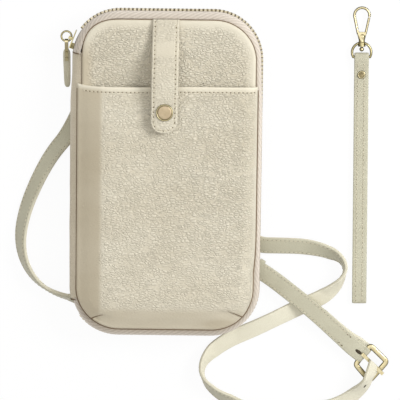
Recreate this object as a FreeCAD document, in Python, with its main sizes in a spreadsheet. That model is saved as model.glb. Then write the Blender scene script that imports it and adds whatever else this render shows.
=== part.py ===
"""Phone pouch lying on its back: +X right, +Y to the pouch's top, +Z out of its front, floor at z = 0.

All lengths are millimetres. Every driving size is a named cell of the sheet called sizes.
"""
import FreeCAD, Part
import math
import os
import Sketcher
from FreeCAD import Placement, Rotation, Vector

doc = FreeCAD.newDocument("phone_pouch")
sheet = doc.addObject("Spreadsheet::Sheet", "sizes")

SIZES = {
    # Pouch outline and depth
    "pouch_width": 112,
    "pouch_height": 192,
    "corner_radius": 29,
    "rest_gap": 4.2,
    "half_depth": 9,
    "seam_inset": 5.2,
    "leather": 1.6,
    "lining": 0.7,
    "tape": 0.9,
    "hinge_inset": 3,
    "split_inset": 5.4,
    "cover_gap": 0.3,
    # Front pocket and its darts
    "pocket_inset": 3.3,
    "pocket_rise": 9.2,
    "pocket_slope": 6,
    "mouth_y": 51.4,
    # Zip teeth and slider
    "tooth_pitch": 2.4,
    "tooth_foot": 1.3,
    "tooth_tip": 0.9,
    "tooth_reach": 2.7,
    "tooth_bite": 0.7,
    "tooth_height": 2.2,
    "teeth_start": 36.5,
    "slider_angle": 21.4,
    "slider_length": 11,
    "slider_width": 8.4,
    "slider_nose": 5.2,
    "slider_plate": 0.6,
    "slider_lift": 0.3,
    "slider_sink": 3.3,
    "bail_wire": 0.8,
    "bail_hole": 1.6,
    # Pull
    "pull_ring_radius": 2.95,
    "pull_ring_wire": 0.55,
    "pull_length": 31,
    "pull_start": 5,
    "pull_width": 4,
    "pull_thick": 2,
    "pull_droop": 26,
    "link_eye": 0.95,
    "link_width": 2,
    "link_wall": 0.5,
    "link_reach": 12.4,
    "pull_rivet": 0.5,
    "pull_rivet_head": 0.85,
    "pull_rivet_high": 6.8,
    "pull_rivet_low": 10.6,
    "pull_rivet_rise": 0.35,
    # Closure tab and snap
    "tab_x": -0.6,
    "tab_width": 15.4,
    "tab_top": 88,
    "tab_end": 26,
    "tab_thick": 2.4,
    "tab_gap": 3,
    "tab_rest": 0.3,
    "snap_y": 37.9,
    "snap_radius": 4.9,
    "snap_shank": 1.4,
    "stud_radius": 2.1,
    "stud_flange": 4.4,
    "snap_sheet": 0.6,
    "snap_play": 0.3,
    # Strap rings, straps and buckle
    "ring_width": 12.6,
    "ring_length": 8,
    "ring_wire": 0.9,
    "ring_bend": 1.1,
    "ring_level": 2.1,
    "ring_left_in": 20,
    "ring_left_down": 5,
    "ring_right_in": 18,
    "ring_right_down": 1,
    "fold_layer": 0.9,
    "fold_play": 0.2,
    "fold_length": 8,
    "strap_width": 10.2,
    "strap_thick": 2.2,
    "buckle_width": 14.5,
    "buckle_length": 13,
    "buckle_wire": 1.1,
    "buckle_bend": 2,
    "buckle_level": 4.6,
    "prong_width": 2,
    "prong_over": 3.5,
    "keeper_wall": 0.6,
    "keeper_play": 0.2,
    "keeper_length": 5,
    # Wrist strap and clasp
    "wrist_x": 113.9,
    "wrist_turn": 0.65,
    "wrist_top": 68.3,
    "wrist_end": -78.4,
    "wrist_width": 8.4,
    "wrist_layer": 1.7,
    "wrist_rivet": 2.25,
    "wrist_rivet_y": 57.9,
    "wrist_rivet_rise": 0.9,
    "wrist_shank": 1.2,
    "loop_radius": 5.6,
    "loop_rise": 2.7,
    "loop_wire": 0.75,
    "boss_radius": 2.2,
    "boss_length": 2.6,
    "boss_drop": 0.85,
    "stem_radius": 0.7,
    "stem_lip": 0.65,
    "swivel_play": 0.25,
    "neck_length": 1,
    "hub_foot": 1.8,
    "hub_head": 3.05,
    "hub_length": 4.6,
    "hub_half": 1.55,
    "hub_rivet": 1.3,
    "hub_rivet_rise": 0.4,
    "hook_reach": 10.9,
    "hook_radius": 4.4,
    "hook_wire": 0.8,
    "gate_wire": 0.7,
    "gate_pin": 0.4,
    "gate_in": 0.9,
    "gate_down": 1.1,
    "gate_play": 0.25,
    "gate_stop": 0.4,
}

for row, (alias, value) in enumerate(SIZES.items(), start=1):
    sheet.set("A%d" % row, alias)
    sheet.set("B%d" % row, str(value))
    sheet.setAlias("B%d" % row, alias)
doc.recompute()

nodes = []


def value(expression):
    """Number that an expression on the sheet gives now."""
    return float(sheet.evalExpression(str(expression)))


def size(alias):
    """Expression that reads one named size."""
    return "sizes." + alias


# Heights of the seams above the floor
BACK = "sizes.rest_gap"
BACK_SEAM = "(sizes.rest_gap + sizes.leather)"
ZIP = "(%s + sizes.half_depth)" % BACK_SEAM
FRONT_SEAM = "(%s + sizes.half_depth)" % ZIP
PANEL_TOP = "(%s + sizes.leather)" % FRONT_SEAM
POCKET_TOP = "(%s + sizes.pocket_rise)" % FRONT_SEAM
TAB_LEVEL = "(%s + sizes.tab_gap)" % POCKET_TOP
HALF_WIDTH = "(sizes.pouch_width / 2)"
STRAIGHT = "(sizes.pouch_height / 2 - sizes.corner_radius)"
HINGE_X = "(sizes.hinge_inset - sizes.pouch_width / 2)"
SPLIT_X = "(sizes.split_inset - sizes.pouch_width / 2)"


def keep(obj, label):
    """Name a finished piece and list it for export."""
    obj.Label = label
    nodes.append(obj)
    return obj


def new_body(label):
    """Empty PartDesign body for one piece."""
    body = doc.addObject("PartDesign::Body", label)
    body.AllowCompound = True
    return keep(body, label)


def new_sketch(body, role="XY_Plane", level=None):
    """Sketch on one of the body's own planes, raised by an expression."""
    sketch = body.newObject("Sketcher::SketchObject", body.Name + "_sketch")
    support = [f for f in body.Origin.OriginFeatures if f.Role == role][0]
    sketch.AttachmentSupport = (support, [""])
    sketch.MapMode = "FlatFace"
    if level is not None:
        sketch.setExpression("AttachmentOffset.Base.z", level)
    return sketch


def pin(sketch, edge, end, point):
    """Fix one end of a sketch edge at a pair of expressions."""
    for kind, expression in zip(("DistanceX", "DistanceY"), point):
        index = sketch.addConstraint(Sketcher.Constraint(kind, edge, end, value(expression)))
        sketch.setExpression("Constraints[%d]" % index, str(expression))


def polygon(sketch, points):
    """Closed outline of straight edges through pairs of expressions."""
    spots = [Vector(value(x), value(y), 0) for x, y in points]
    edges = []
    for here, there in zip(spots, spots[1:] + spots[:1]):
        edges.append(sketch.addGeometry(Part.LineSegment(here, there)))
    for edge, point, before in zip(edges, points, edges[-1:] + edges[:-1]):
        sketch.addConstraint(Sketcher.Constraint("Coincident", before, 2, edge, 1))
        pin(sketch, edge, 1, point)


def rounded(sketch, half_width, half_height, radius):
    """Rectangle centred on the origin with four equal round corners."""
    flat_x = "(%s - (%s))" % (half_width, radius)
    flat_y = "(%s - (%s))" % (half_height, radius)
    sides = [
        ((flat_x, half_height), ("-" + flat_x, half_height)),
        (("-(%s)" % half_width, flat_y), ("-(%s)" % half_width, "-" + flat_y)),
        (("-" + flat_x, "-(%s)" % half_height), (flat_x, "-(%s)" % half_height)),
        ((half_width, "-" + flat_y), (half_width, flat_y)),
    ]
    lines = []
    for start, end in sides:
        ends = [Vector(value(x), value(y), 0) for x, y in (start, end)]
        lines.append(sketch.addGeometry(Part.LineSegment(*ends)))
        pin(sketch, lines[-1], 1, start)
        pin(sketch, lines[-1], 2, end)
    bend = value(radius)
    signs = [(-1, 1), (-1, -1), (1, -1), (1, 1)]
    for turn, (line, after, sign) in enumerate(zip(lines, lines[1:] + lines[:1], signs)):
        middle = Vector(sign[0] * value(flat_x), sign[1] * value(flat_y), 0)
        first = math.pi / 2 * (turn + 1)
        circle = Part.Circle(middle, Vector(0, 0, 1), bend)
        arc = sketch.addGeometry(Part.ArcOfCircle(circle, first, first + math.pi / 2))
        sketch.addConstraint(Sketcher.Constraint("Coincident", line, 2, arc, 1))
        sketch.addConstraint(Sketcher.Constraint("Coincident", arc, 2, after, 1))
        index = sketch.addConstraint(Sketcher.Constraint("Radius", arc, bend))
        sketch.setExpression("Constraints[%d]" % index, str(radius))


def outline(body, level, inset):
    """Sketch of the pouch's outline, moved inwards, at one height."""
    sketch = new_sketch(body, level=level)
    half_height = "(sizes.pouch_height / 2 - (%s))" % inset
    rounded(sketch, "(%s - (%s))" % (HALF_WIDTH, inset), half_height, "sizes.corner_radius - (%s)" % inset)
    return sketch


def loft(body, sections, kind="PartDesign::AdditiveLoft"):
    """Straight-sided loft through pairs of height and inset."""
    sketches = [outline(body, level, inset) for level, inset in sections]
    doc.recompute()
    feature = body.newObject(kind, body.Name + "_loft")
    feature.Profile = sketches[0]
    feature.Sections = sketches[1:]
    feature.Ruled = True
    doc.recompute()
    return feature


def pad(body, sketch, length, both=False):
    """Pad of a sketch, to one side or to both alike."""
    doc.recompute()
    feature = body.newObject("PartDesign::Pad", body.Name + "_pad")
    feature.Profile = sketch
    feature.SideType = "Symmetric" if both else "One side"
    feature.setExpression("Length", length)
    doc.recompute()
    return feature


def cut_away(body, points):
    """Take away all of a body that lies over a polygon of the floor plane."""
    sketch = new_sketch(body)
    polygon(sketch, points)
    before = body.Shape.Volume
    doc.recompute()
    feature = body.newObject("PartDesign::Pocket", body.Name + "_pocket")
    feature.Profile = sketch
    feature.SideType = "Symmetric"
    feature.Type = "Length"
    feature.Length = 400
    doc.recompute()
    if body.Shape.Volume >= before:
        raise ValueError("nothing was cut from " + body.Label)
    return feature


def block(x_from, x_to, y_from, y_to):
    """Corner points of an upright block."""
    return [(x_from, y_from), (x_to, y_from), (x_to, y_to), (x_from, y_to)]


def solid(kind, at=(0, 0, 0), turn=None, **expressions):
    """Part primitive with its sizes bound to the sheet and its place given by expressions."""
    obj = doc.addObject("Part::" + kind, "form_" + kind)
    for name, expression in expressions.items():
        obj.setExpression(name, str(expression))
    obj.Placement = Placement(Vector(*[value(a) for a in at]), turn or Rotation())
    return obj


def join(*objs):
    """One solid from several that meet."""
    obj = doc.addObject("Part::MultiFuse", "form_fuse")
    obj.Shapes = list(objs)
    return obj


def cut(base, *tools):
    """A solid less the tools."""
    for tool in tools:
        obj = doc.addObject("Part::Cut", "form_cut")
        obj.Base = base
        obj.Tool = tool
        base = obj
    return base


ALONG_X = Rotation(Vector(0, 1, 0), 90)
ALONG_Y = Rotation(Vector(1, 0, 0), -90)

# Back panel, bevelled to its outer face, with its lining
back_panel = new_body("back_panel")
loft(back_panel, [(BACK_SEAM, size("seam_inset")), (BACK, "sizes.seam_inset + sizes.leather")])
back_lining = new_body("back_lining")
lining_inset = "(sizes.seam_inset + sizes.leather)"
loft(back_lining, [(BACK_SEAM, lining_inset), ("%s + sizes.lining" % BACK_SEAM, lining_inset)])

# Zip tapes: bands that swell from each seam to the row of teeth
SPINE_SIDE = block("-%s - 6" % HALF_WIDTH, "12 - %s" % HALF_WIDTH, "-" + STRAIGHT, STRAIGHT)
SEAM_EDGE = "(sizes.seam_inset - 0.3)"
SWELL = 1.9
CREST = 0.5


def tape_band(label, seam, towards_zip):
    """Band of tape between a seam and the teeth, open inside."""
    body = new_body(label)
    sign = "+" if towards_zip > 0 else "-"
    edge = "%s %s sizes.tooth_reach" % (ZIP, "-" if towards_zip > 0 else "+")
    middle = "%s %s 0.32 * sizes.half_depth" % (seam, sign)
    rows = [(seam, SEAM_EDGE), (middle, SWELL), (edge, CREST)]
    loft(body, rows)
    inner = [(level, "%s + sizes.tape" % inset) for level, inset in rows]
    loft(body, inner, "PartDesign::SubtractiveLoft")
    cut_away(body, SPINE_SIDE)
    return body


FAR = "(sizes.pouch_width + sizes.pouch_height)"
tape_band("back_tape", BACK_SEAM, 1)
front_tape = tape_band("front_tape", FRONT_SEAM, -1)
cut_away(front_tape, block("-" + FAR, "%s + sizes.cover_gap / 2" % SPLIT_X, "-" + FAR, FAR))
tape_ends = tape_band("tape_ends", "(%s - sizes.cover_gap)" % FRONT_SEAM, -1)
cut_away(tape_ends, block("%s - sizes.cover_gap / 2" % SPLIT_X, FAR, "-" + FAR, FAR))

# Leather spine that holds the two panels together on the left
spine = new_body("spine")
profile = new_sketch(spine, "XZ_Plane")
outer_side = [
    ("%s - %s" % (SEAM_EDGE, HALF_WIDTH), BACK_SEAM),
    ("1 - %s" % HALF_WIDTH, "%s + 0.4 * sizes.half_depth" % BACK_SEAM),
    ("-" + HALF_WIDTH, "%s - 0.2 * sizes.half_depth" % ZIP),
    ("-" + HALF_WIDTH, "%s + 0.2 * sizes.half_depth" % ZIP),
    ("1 - %s" % HALF_WIDTH, "%s - 0.4 * sizes.half_depth" % FRONT_SEAM),
    ("%s - 0.3" % HINGE_X, "%s - sizes.cover_gap" % FRONT_SEAM),
]
inner_side = [("%s + sizes.leather" % x, z) for x, z in reversed(outer_side)]
polygon(profile, outer_side + inner_side)
pad(spine, profile, "2 * %s - 0.2" % STRAIGHT, both=True)

# Front panel and lining, carried by the cover
front_panel = new_body("front_panel")
loft(front_panel, [(FRONT_SEAM, size("seam_inset")), (PANEL_TOP, "sizes.seam_inset + sizes.leather")])
front_lining = new_body("front_lining")
loft(front_lining, [("%s - sizes.lining" % FRONT_SEAM, lining_inset), (FRONT_SEAM, lining_inset)])

# Front pocket: a puffed shell over the panel, open at its mouth, with a hole for the snap's shank
front_pocket = new_body("front_pocket")
pocket_rows = [(FRONT_SEAM, size("pocket_inset")), (POCKET_TOP, "sizes.pocket_inset + sizes.pocket_slope")]
loft(front_pocket, pocket_rows)
hollow_rows = [
    (FRONT_SEAM, "sizes.pocket_inset + sizes.leather + 0.2"),
    ("%s - sizes.leather" % POCKET_TOP, "sizes.pocket_inset + sizes.pocket_slope + sizes.leather"),
]
loft(front_pocket, hollow_rows, "PartDesign::SubtractiveLoft")
cut_away(front_pocket, block("-" + FAR, FAR, size("mouth_y"), FAR))
snap_half = "(sizes.snap_shank + 0.1)"
cut_away(front_pocket, block("sizes.tab_x - %s" % snap_half, "sizes.tab_x + %s" % snap_half,
                             "sizes.snap_y - %s" % snap_half, "sizes.snap_y + %s" % snap_half))


# Zip teeth: two rows that bite into each other along the crest
def crest_point(distance):
    """Place and direction on the outline, clockwise from the first tooth, after a distance."""
    bend = value("sizes.corner_radius")
    half_x = value(HALF_WIDTH) - bend
    half_y = value(STRAIGHT)
    first = math.radians(value("sizes.teeth_start"))
    quarter = math.pi / 2
    corners = [(-half_x, half_y), (half_x, half_y), (half_x, -half_y), (-half_x, -half_y)]
    sweeps = [quarter - first, quarter, quarter, quarter - first]
    runs = [2 * half_x, 2 * half_y, 2 * half_x, 0]
    angle = math.pi - first
    for corner, sweep, run in zip(corners, sweeps, runs):
        if distance <= sweep * bend:
            spot = angle - distance / bend
            out = Vector(math.cos(spot), math.sin(spot), 0)
            return Vector(*corner, 0) + out * bend, out
        distance -= sweep * bend
        angle -= sweep
        out = Vector(math.cos(angle), math.sin(angle), 0)
        along = Vector(out.y, -out.x, 0)
        if distance <= run:
            return Vector(*corner, 0) + out * bend + along * distance, out
        distance -= run
    raise ValueError("the distance is longer than the zip")


def tooth_row(label, side):
    """Row of separate teeth, side -1 on the back tape and +1 on the front tape."""
    bend = value("sizes.corner_radius")
    turned = 2 * math.pi - 2 * math.radians(value("sizes.teeth_start"))
    length = bend * turned + 4 * (value(HALF_WIDTH) - bend) + 2 * value(STRAIGHT)
    pitch = value("sizes.tooth_pitch")
    count = int(length / pitch)
    foot = value("sizes.tooth_foot") / 2
    tip = value("sizes.tooth_tip") / 2
    reach = value("sizes.tooth_reach") * side
    bite = value("sizes.tooth_bite") * -side
    middle = Vector(0, 0, value(ZIP))
    teeth = []
    for number in range(count):
        spot, out = crest_point((number + 0.5 + 0.25 * side) * pitch)
        along = Vector(out.y, -out.x, 0)
        base = spot + middle - out * value("sizes.tooth_height")
        corners = [(-foot, reach), (foot, reach), (tip, bite), (-tip, bite)]
        points = [base + along * a + Vector(0, 0, b) for a, b in corners]
        face = Part.Face(Part.makePolygon(points + points[:1]))
        teeth.append(face.extrude(out * value("sizes.tooth_height")))
    row = doc.addObject("Part::Feature", label)
    row.Shape = Part.makeCompound(teeth)
    row.Placement = Placement()
    print(label, count, "teeth")
    return keep(row, label)


tooth_row("back_teeth", -1)
tooth_row("front_teeth", 1)

# Slider: two plates held apart by a wedge, with a bail that the ring goes through
slider_body = new_body("slider_body")
half_long = "(sizes.slider_length / 2)"
shield = [
    ("-" + half_long, "-sizes.slider_width / 2"),
    ("0", "-sizes.slider_width / 2"),
    (half_long, "-sizes.slider_nose / 2"),
    (half_long, "sizes.slider_nose / 2"),
    ("0", "sizes.slider_width / 2"),
    ("-" + half_long, "sizes.slider_width / 2"),
]
outer_plate = new_sketch(slider_body, level=size("slider_lift"))
polygon(outer_plate, shield)
pad(slider_body, outer_plate, size("slider_plate"))
wedge = new_sketch(slider_body, level="-sizes.slider_sink")
polygon(wedge, [("-" + half_long, "-1.2"), ("3.4 - " + half_long, "0"), ("-" + half_long, "1.2")])
pad(slider_body, wedge, "sizes.slider_sink + sizes.slider_lift")
inner_plate = new_sketch(slider_body, level="-sizes.slider_sink - sizes.slider_plate")
polygon(inner_plate, shield)
pad(slider_body, inner_plate, size("slider_plate"))
bail_foot = "(sizes.slider_lift + sizes.slider_plate)"
bail_half = "(sizes.bail_hole / 2 + sizes.bail_wire)"
bail_top = "(%s + sizes.bail_hole + sizes.bail_wire)" % bail_foot
bail = new_sketch(slider_body, "YZ_Plane")
polygon(bail, [
    ("-" + bail_half, bail_foot),
    ("-sizes.bail_hole / 2", bail_foot),
    ("-sizes.bail_hole / 2", "%s + sizes.bail_hole" % bail_foot),
    ("sizes.bail_hole / 2", "%s + sizes.bail_hole" % bail_foot),
    ("sizes.bail_hole / 2", bail_foot),
    (bail_half, bail_foot),
    (bail_half, bail_top),
    ("-" + bail_half, bail_top),
])
pad(slider_body, bail, "2 * sizes.bail_wire", both=True)
corner = Vector(value("sizes.corner_radius - %s" % HALF_WIDTH), value(STRAIGHT), value(ZIP))
lean = math.radians(value("sizes.slider_angle"))
outward = Vector(-math.cos(lean), math.sin(lean), 0)
forward = Vector(math.sin(lean), math.cos(lean), 0)
on_crest = corner + outward * value("sizes.corner_radius")
slider_body.Placement = Placement(on_crest, Rotation(forward, Vector(0, 0, -1), outward, "XYZ"))

# Wire ring through the bail, the metal link on it, and the leather pull that the link clamps
ring_middle = on_crest + outward * value("%s + sizes.bail_hole / 2 + sizes.pull_ring_radius" % bail_foot)
pull_ring = solid("Torus", Radius1=size("pull_ring_radius"), Radius2=size("pull_ring_wire"))
pull_ring.Placement = Placement(ring_middle, Rotation())
keep(pull_ring, "pull_ring")
link_half = "(sizes.link_width / 2)"
leather_half = "(sizes.pull_thick / 2)"
link_face = "(%s + sizes.link_wall)" % leather_half
rivet_spots = ["-sizes.pull_rivet_high", "-sizes.pull_rivet_low"]


def rivet_holes():
    """Two round tools through the link and the leather."""
    return [solid("Cylinder", at=(0, y, "-2 * " + link_face), Radius=size("pull_rivet"), Height="4 * " + link_face)
            for y in rivet_spots]


link_knuckle = solid("Cylinder", at=("-" + link_half, 0, 0), turn=ALONG_X, Radius=link_face,
                     Height=size("link_width"))
link_bore = solid("Cylinder", at=("-sizes.link_width", 0, 0), turn=ALONG_X, Radius=size("link_eye"),
                  Height="2 * sizes.link_width")
link_neck = solid("Box", at=("-" + link_half, "-sizes.pull_start", "-" + link_face), Length=size("link_width"),
                  Width=size("pull_start"), Height="2 * " + link_face)
cheeks = [solid("Box", at=("-" + link_half, "-sizes.link_reach", level), Length=size("link_width"),
                Width=size("link_reach"), Height=size("link_wall")) for level in (leather_half, "-" + link_face)]
pull_link = cut(join(link_knuckle, link_neck, *cheeks), link_bore, *rivet_holes())
pull_half = "(sizes.pull_width / 2)"
pull_flat = "(sizes.pull_length - sizes.pull_start - 2 * %s)" % pull_half
pull_strip = solid("Box", at=("-" + pull_half, "%s - sizes.pull_length" % pull_half, "-" + leather_half),
                   Length=size("pull_width"), Width=pull_flat, Height=size("pull_thick"))
pull_ends = [solid("Cylinder", at=(0, y, "-" + leather_half), Radius=pull_half, Height=size("pull_thick"))
             for y in ("%s - sizes.pull_length" % pull_half, "-sizes.pull_start - " + pull_half)]
pull_tab = cut(join(pull_strip, *pull_ends), *rivet_holes())
rivets = []
for y in rivet_spots:
    shank = solid("Cylinder", at=(0, y, "-" + link_face), Radius=size("pull_rivet"), Height="2 * " + link_face)
    head = solid("Cylinder", at=(0, y, link_face), Radius=size("pull_rivet_head"), Height=size("pull_rivet_rise"))
    rivets.append(join(shank, head))
pull_rivets = doc.addObject("Part::Compound", "pull_rivets")
pull_rivets.Links = rivets
droop = Rotation(Vector(1, 0, 0), value("sizes.pull_droop"))
pull_at = ring_middle - Vector(0, value("sizes.pull_ring_radius"), 0)
for piece, label in ((pull_link, "pull_link"), (pull_tab, "pull_tab"), (pull_rivets, "pull_rivets")):
    piece.Placement = Placement(pull_at, droop)
    keep(piece, label)

# Closure tab: rises from the top seam over the pocket's mouth to the snap
closure_tab = new_body("closure_tab")
tab_foot = "(%s + sizes.tab_rest)" % PANEL_TOP
bend_y = "(sizes.mouth_y + 4)"
profile = new_sketch(closure_tab, "YZ_Plane", level=size("tab_x"))
polygon(profile, [
    (size("tab_top"), tab_foot),
    (size("tab_top"), "%s + sizes.tab_thick" % tab_foot),
    ("sizes.tab_top - 5", "%s + sizes.tab_thick" % tab_foot),
    (bend_y, "%s + sizes.tab_thick" % TAB_LEVEL),
    (size("tab_end"), "%s + sizes.tab_thick" % TAB_LEVEL),
    (size("tab_end"), TAB_LEVEL),
    (bend_y, TAB_LEVEL),
    ("sizes.tab_top - 5", tab_foot),
])
tab_pad = pad(closure_tab, profile, size("tab_width"), both=True)
end_edges = []
for number, edge in enumerate(closure_tab.Shape.Edges, start=1):
    low, high = edge.Vertexes[0].Point, edge.Vertexes[-1].Point
    upright = abs(low.x - high.x) < 1e-6 and abs(low.y - high.y) < 1e-6
    if upright and abs(low.y - value("sizes.tab_end")) < 1e-6:
        end_edges.append("Edge%d" % number)
tab_round = closure_tab.newObject("PartDesign::Fillet", "closure_tab_round")
tab_round.Base = (tab_pad, end_edges)
tab_round.setExpression("Radius", "0.42 * sizes.tab_width")
doc.recompute()
cut_away(closure_tab, block("sizes.tab_x - %s" % snap_half, "sizes.tab_x + %s" % snap_half,
                            "sizes.snap_y - %s" % snap_half, "sizes.snap_y + %s" % snap_half))


# Snap: cap and socket on the tab, stud and post on the pocket
def disc(level, radius, height):
    """Flat round of the snap at one height."""
    return solid("Cylinder", at=(size("tab_x"), size("snap_y"), level), Radius=radius, Height=height)


tab_face = "(%s + sizes.tab_thick)" % TAB_LEVEL
rim = solid("Torus", at=(size("tab_x"), size("snap_y"), "%s + 1" % tab_face),
            Radius1="sizes.snap_radius - 0.45", Radius2=0.45)
cap_plate = disc(tab_face, size("snap_radius"), 1)
cap_shank = disc(TAB_LEVEL, size("snap_shank"), size("tab_thick"))
keep(join(cap_plate, rim, cap_shank), "snap_cap")
cup_height = "(sizes.tab_gap - sizes.snap_sheet - 0.2)"
cup = disc("%s - %s" % (TAB_LEVEL, cup_height), size("stud_flange"), cup_height)
cup_hollow = disc("%s - %s" % (TAB_LEVEL, cup_height), "sizes.stud_radius + sizes.snap_play",
                  "%s - sizes.snap_sheet" % cup_height)
keep(cut(cup, cup_hollow), "snap_socket")
stud_flange = disc(POCKET_TOP, size("stud_flange"), size("snap_sheet"))
stud_post = disc(POCKET_TOP, size("stud_radius"), "sizes.tab_gap - sizes.snap_sheet - 0.2")
stud_shank = disc("%s - sizes.leather" % POCKET_TOP, size("snap_shank"), size("leather"))
keep(join(stud_flange, stud_post, stud_shank), "snap_stud")
post_level = "%s - sizes.leather - sizes.snap_sheet" % POCKET_TOP
keep(disc(post_level, size("stud_flange"), size("snap_sheet")), "snap_post")


# Strap fittings
def wire_frame(width, length, wire, bend):
    """Rectangular wire ring with bent corners, its first bar on the local Y axis."""
    half = "(%s / 2)" % width
    flat_y = "(%s - %s)" % (half, bend)
    far = "(%s - %s)" % (length, bend)
    forms = []
    for x in (0, length):
        forms.append(solid("Cylinder", at=(x, "-" + flat_y, 0), turn=ALONG_Y, Radius=wire, Height="2 * " + flat_y))
    for y in ("-" + half, half):
        forms.append(solid("Cylinder", at=(bend, y, 0), turn=ALONG_X, Radius=wire, Height="%s - %s" % (far, bend)))
    corners = [(far, flat_y), (bend, flat_y), (bend, "-" + flat_y), (far, "-" + flat_y)]
    for number, (x, y) in enumerate(corners):
        forms.append(solid("Torus", at=(x, y, 0), turn=Rotation(Vector(0, 0, 1), 90 * number), Radius1=bend,
                           Radius2=wire, Angle3=90))
    return join(*forms)


def fold(label, spot, heading, level, wire, side, flat, slot=None):
    """Folded leather end round a bar; flat is the height of its flat part's underside over the bar."""
    eye = "(%s + sizes.fold_play)" % wire
    outer = "(%s + sizes.fold_layer)" % eye
    half = "(sizes.strap_width / 2)"
    start = 0 if side > 0 else "-sizes.fold_length"
    strip = solid("Box", at=(start, "-" + half, flat), Length=size("fold_length"),
                  Width=size("strap_width"), Height="2 * sizes.fold_layer")
    knuckle = solid("Cylinder", at=(0, "-" + half, 0), turn=ALONG_Y, Radius=outer, Height=size("strap_width"))
    bore = solid("Cylinder", at=(0, "-sizes.strap_width", 0), turn=ALONG_Y, Radius=eye,
                 Height="2 * sizes.strap_width")
    tools = [bore]
    if slot is not None:
        tools.append(solid("Box", at=("-4", "-(%s) / 2" % slot, "-4"), Length=8, Width=slot, Height=8))
    piece = cut(join(strip, knuckle), *tools)
    piece.Placement = Placement(Vector(spot.x, spot.y, level), Rotation(Vector(0, 0, 1), heading))
    return keep(piece, label)


left_ring = Vector(value("sizes.ring_left_in - " + HALF_WIDTH), value(STRAIGHT + " - sizes.ring_left_down"), 0)
right_ring = Vector(value(HALF_WIDTH + " - sizes.ring_right_in"), value(STRAIGHT + " - sizes.ring_right_down"), 0)
RINGS = {"left": (left_ring, 238), "right": (right_ring, 266)}
ring_level = value("sizes.ring_level")
for name, (spot, heading) in RINGS.items():
    ring = wire_frame(size("ring_width"), size("ring_length"), size("ring_wire"), size("ring_bend"))
    ring.Placement = Placement(Vector(spot.x, spot.y, ring_level), Rotation(Vector(0, 0, 1), heading))
    keep(ring, "square_ring_" + name)
    towards = Rotation(Vector(0, 0, 1), heading).multVec(Vector(1, 0, 0))
    top_flat = "%s - sizes.ring_level - 2 * sizes.fold_layer" % BACK
    fold("anchor_tab_" + name, spot, heading, ring_level, "sizes.ring_wire", -1, top_flat)
    far_bar = spot + towards * value("sizes.ring_length")
    strap_flat = "0.1 - sizes.ring_level"
    fold("strap_fold_" + name, far_bar, heading, ring_level, "sizes.ring_wire", 1, strap_flat)


# Straps: flat ribbons on the floor, straight runs joined by arcs that meet them smoothly
def bend_at(before, here, after):
    """Start, middle and end of the arc that rounds one point of a route, and its radius."""
    to_before = (before - here).normalize()
    to_after = (after - here).normalize()
    turn = math.pi - to_before.getAngle(to_after)
    reach = 0.45 * min((before - here).Length, (after - here).Length)
    radius = reach / math.tan(turn / 2)
    inwards = (to_before + to_after).normalize()
    middle = here + inwards * (radius / math.cos(turn / 2) - radius)
    return here + to_before * reach, middle, here + to_after * reach, radius


def ribbon(label, points):
    """Flat strap swept along a route of points, and a check of its volume."""
    edges = []
    radii = []
    start = points[0]
    for before, here, after in zip(points, points[1:], points[2:]):
        first, middle, last, radius = bend_at(before, here, after)
        edges.append(Part.LineSegment(start, first).toShape())
        edges.append(Part.Arc(first, middle, last).toShape())
        radii.append(radius)
        start = last
    edges.append(Part.LineSegment(start, points[-1]).toShape())
    wire = Part.Wire(edges)
    ahead = (points[1] - points[0]).normalize()
    across = Vector(0, 0, 1).cross(ahead).normalize() * (value("sizes.strap_width") / 2)
    up = Vector(0, 0, value("sizes.strap_thick") / 2)
    corners = [points[0] + across * a + up * b for a, b in ((1, 1), (-1, 1), (-1, -1), (1, -1))]
    section = Part.makePolygon(corners + corners[:1])
    sweep = Part.BRepOffsetAPI.MakePipeShell(wire)
    sweep.setBiNormalMode(Vector(0, 0, 1))
    sweep.add(section)
    sweep.build()
    sweep.makeSolid()
    strap = doc.addObject("Part::Feature", label)
    strap.Shape = sweep.shape()
    strap.Placement = Placement()
    expected = wire.Length * value("sizes.strap_width * sizes.strap_thick")
    print(label, "length", round(wire.Length, 1), "radii", [round(r, 1) for r in radii])
    print(label, "volume ratio", round(strap.Shape.Volume / expected, 3))
    return keep(strap, label)


FLAT = value("sizes.strap_thick / 2")
NEAR_BUCKLE = value("sizes.buckle_level")
HUMP = 6.8
KEEPER_POINT = (54, -57, 2.1)
left_spot, left_heading = RINGS["left"]
right_spot, right_heading = RINGS["right"]
strap_lead = value("sizes.ring_length + sizes.fold_length + 0.3")
left_way = Rotation(Vector(0, 0, 1), left_heading).multVec(Vector(1, 0, 0))
right_way = Rotation(Vector(0, 0, 1), right_heading).multVec(Vector(1, 0, 0))
left_start = left_spot + left_way * strap_lead + Vector(0, 0, FLAT)
right_start = right_spot + right_way * strap_lead + Vector(0, 0, FLAT)
BUCKLE_SPOT = Vector(118.4, -108.6, 0)
BUCKLE_HEADING = -44
buckle_way = Rotation(Vector(0, 0, 1), BUCKLE_HEADING).multVec(Vector(1, 0, 0))
strap_stop = BUCKLE_SPOT - buckle_way * value("sizes.fold_length + 0.3") + Vector(0, 0, NEAR_BUCKLE)

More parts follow.
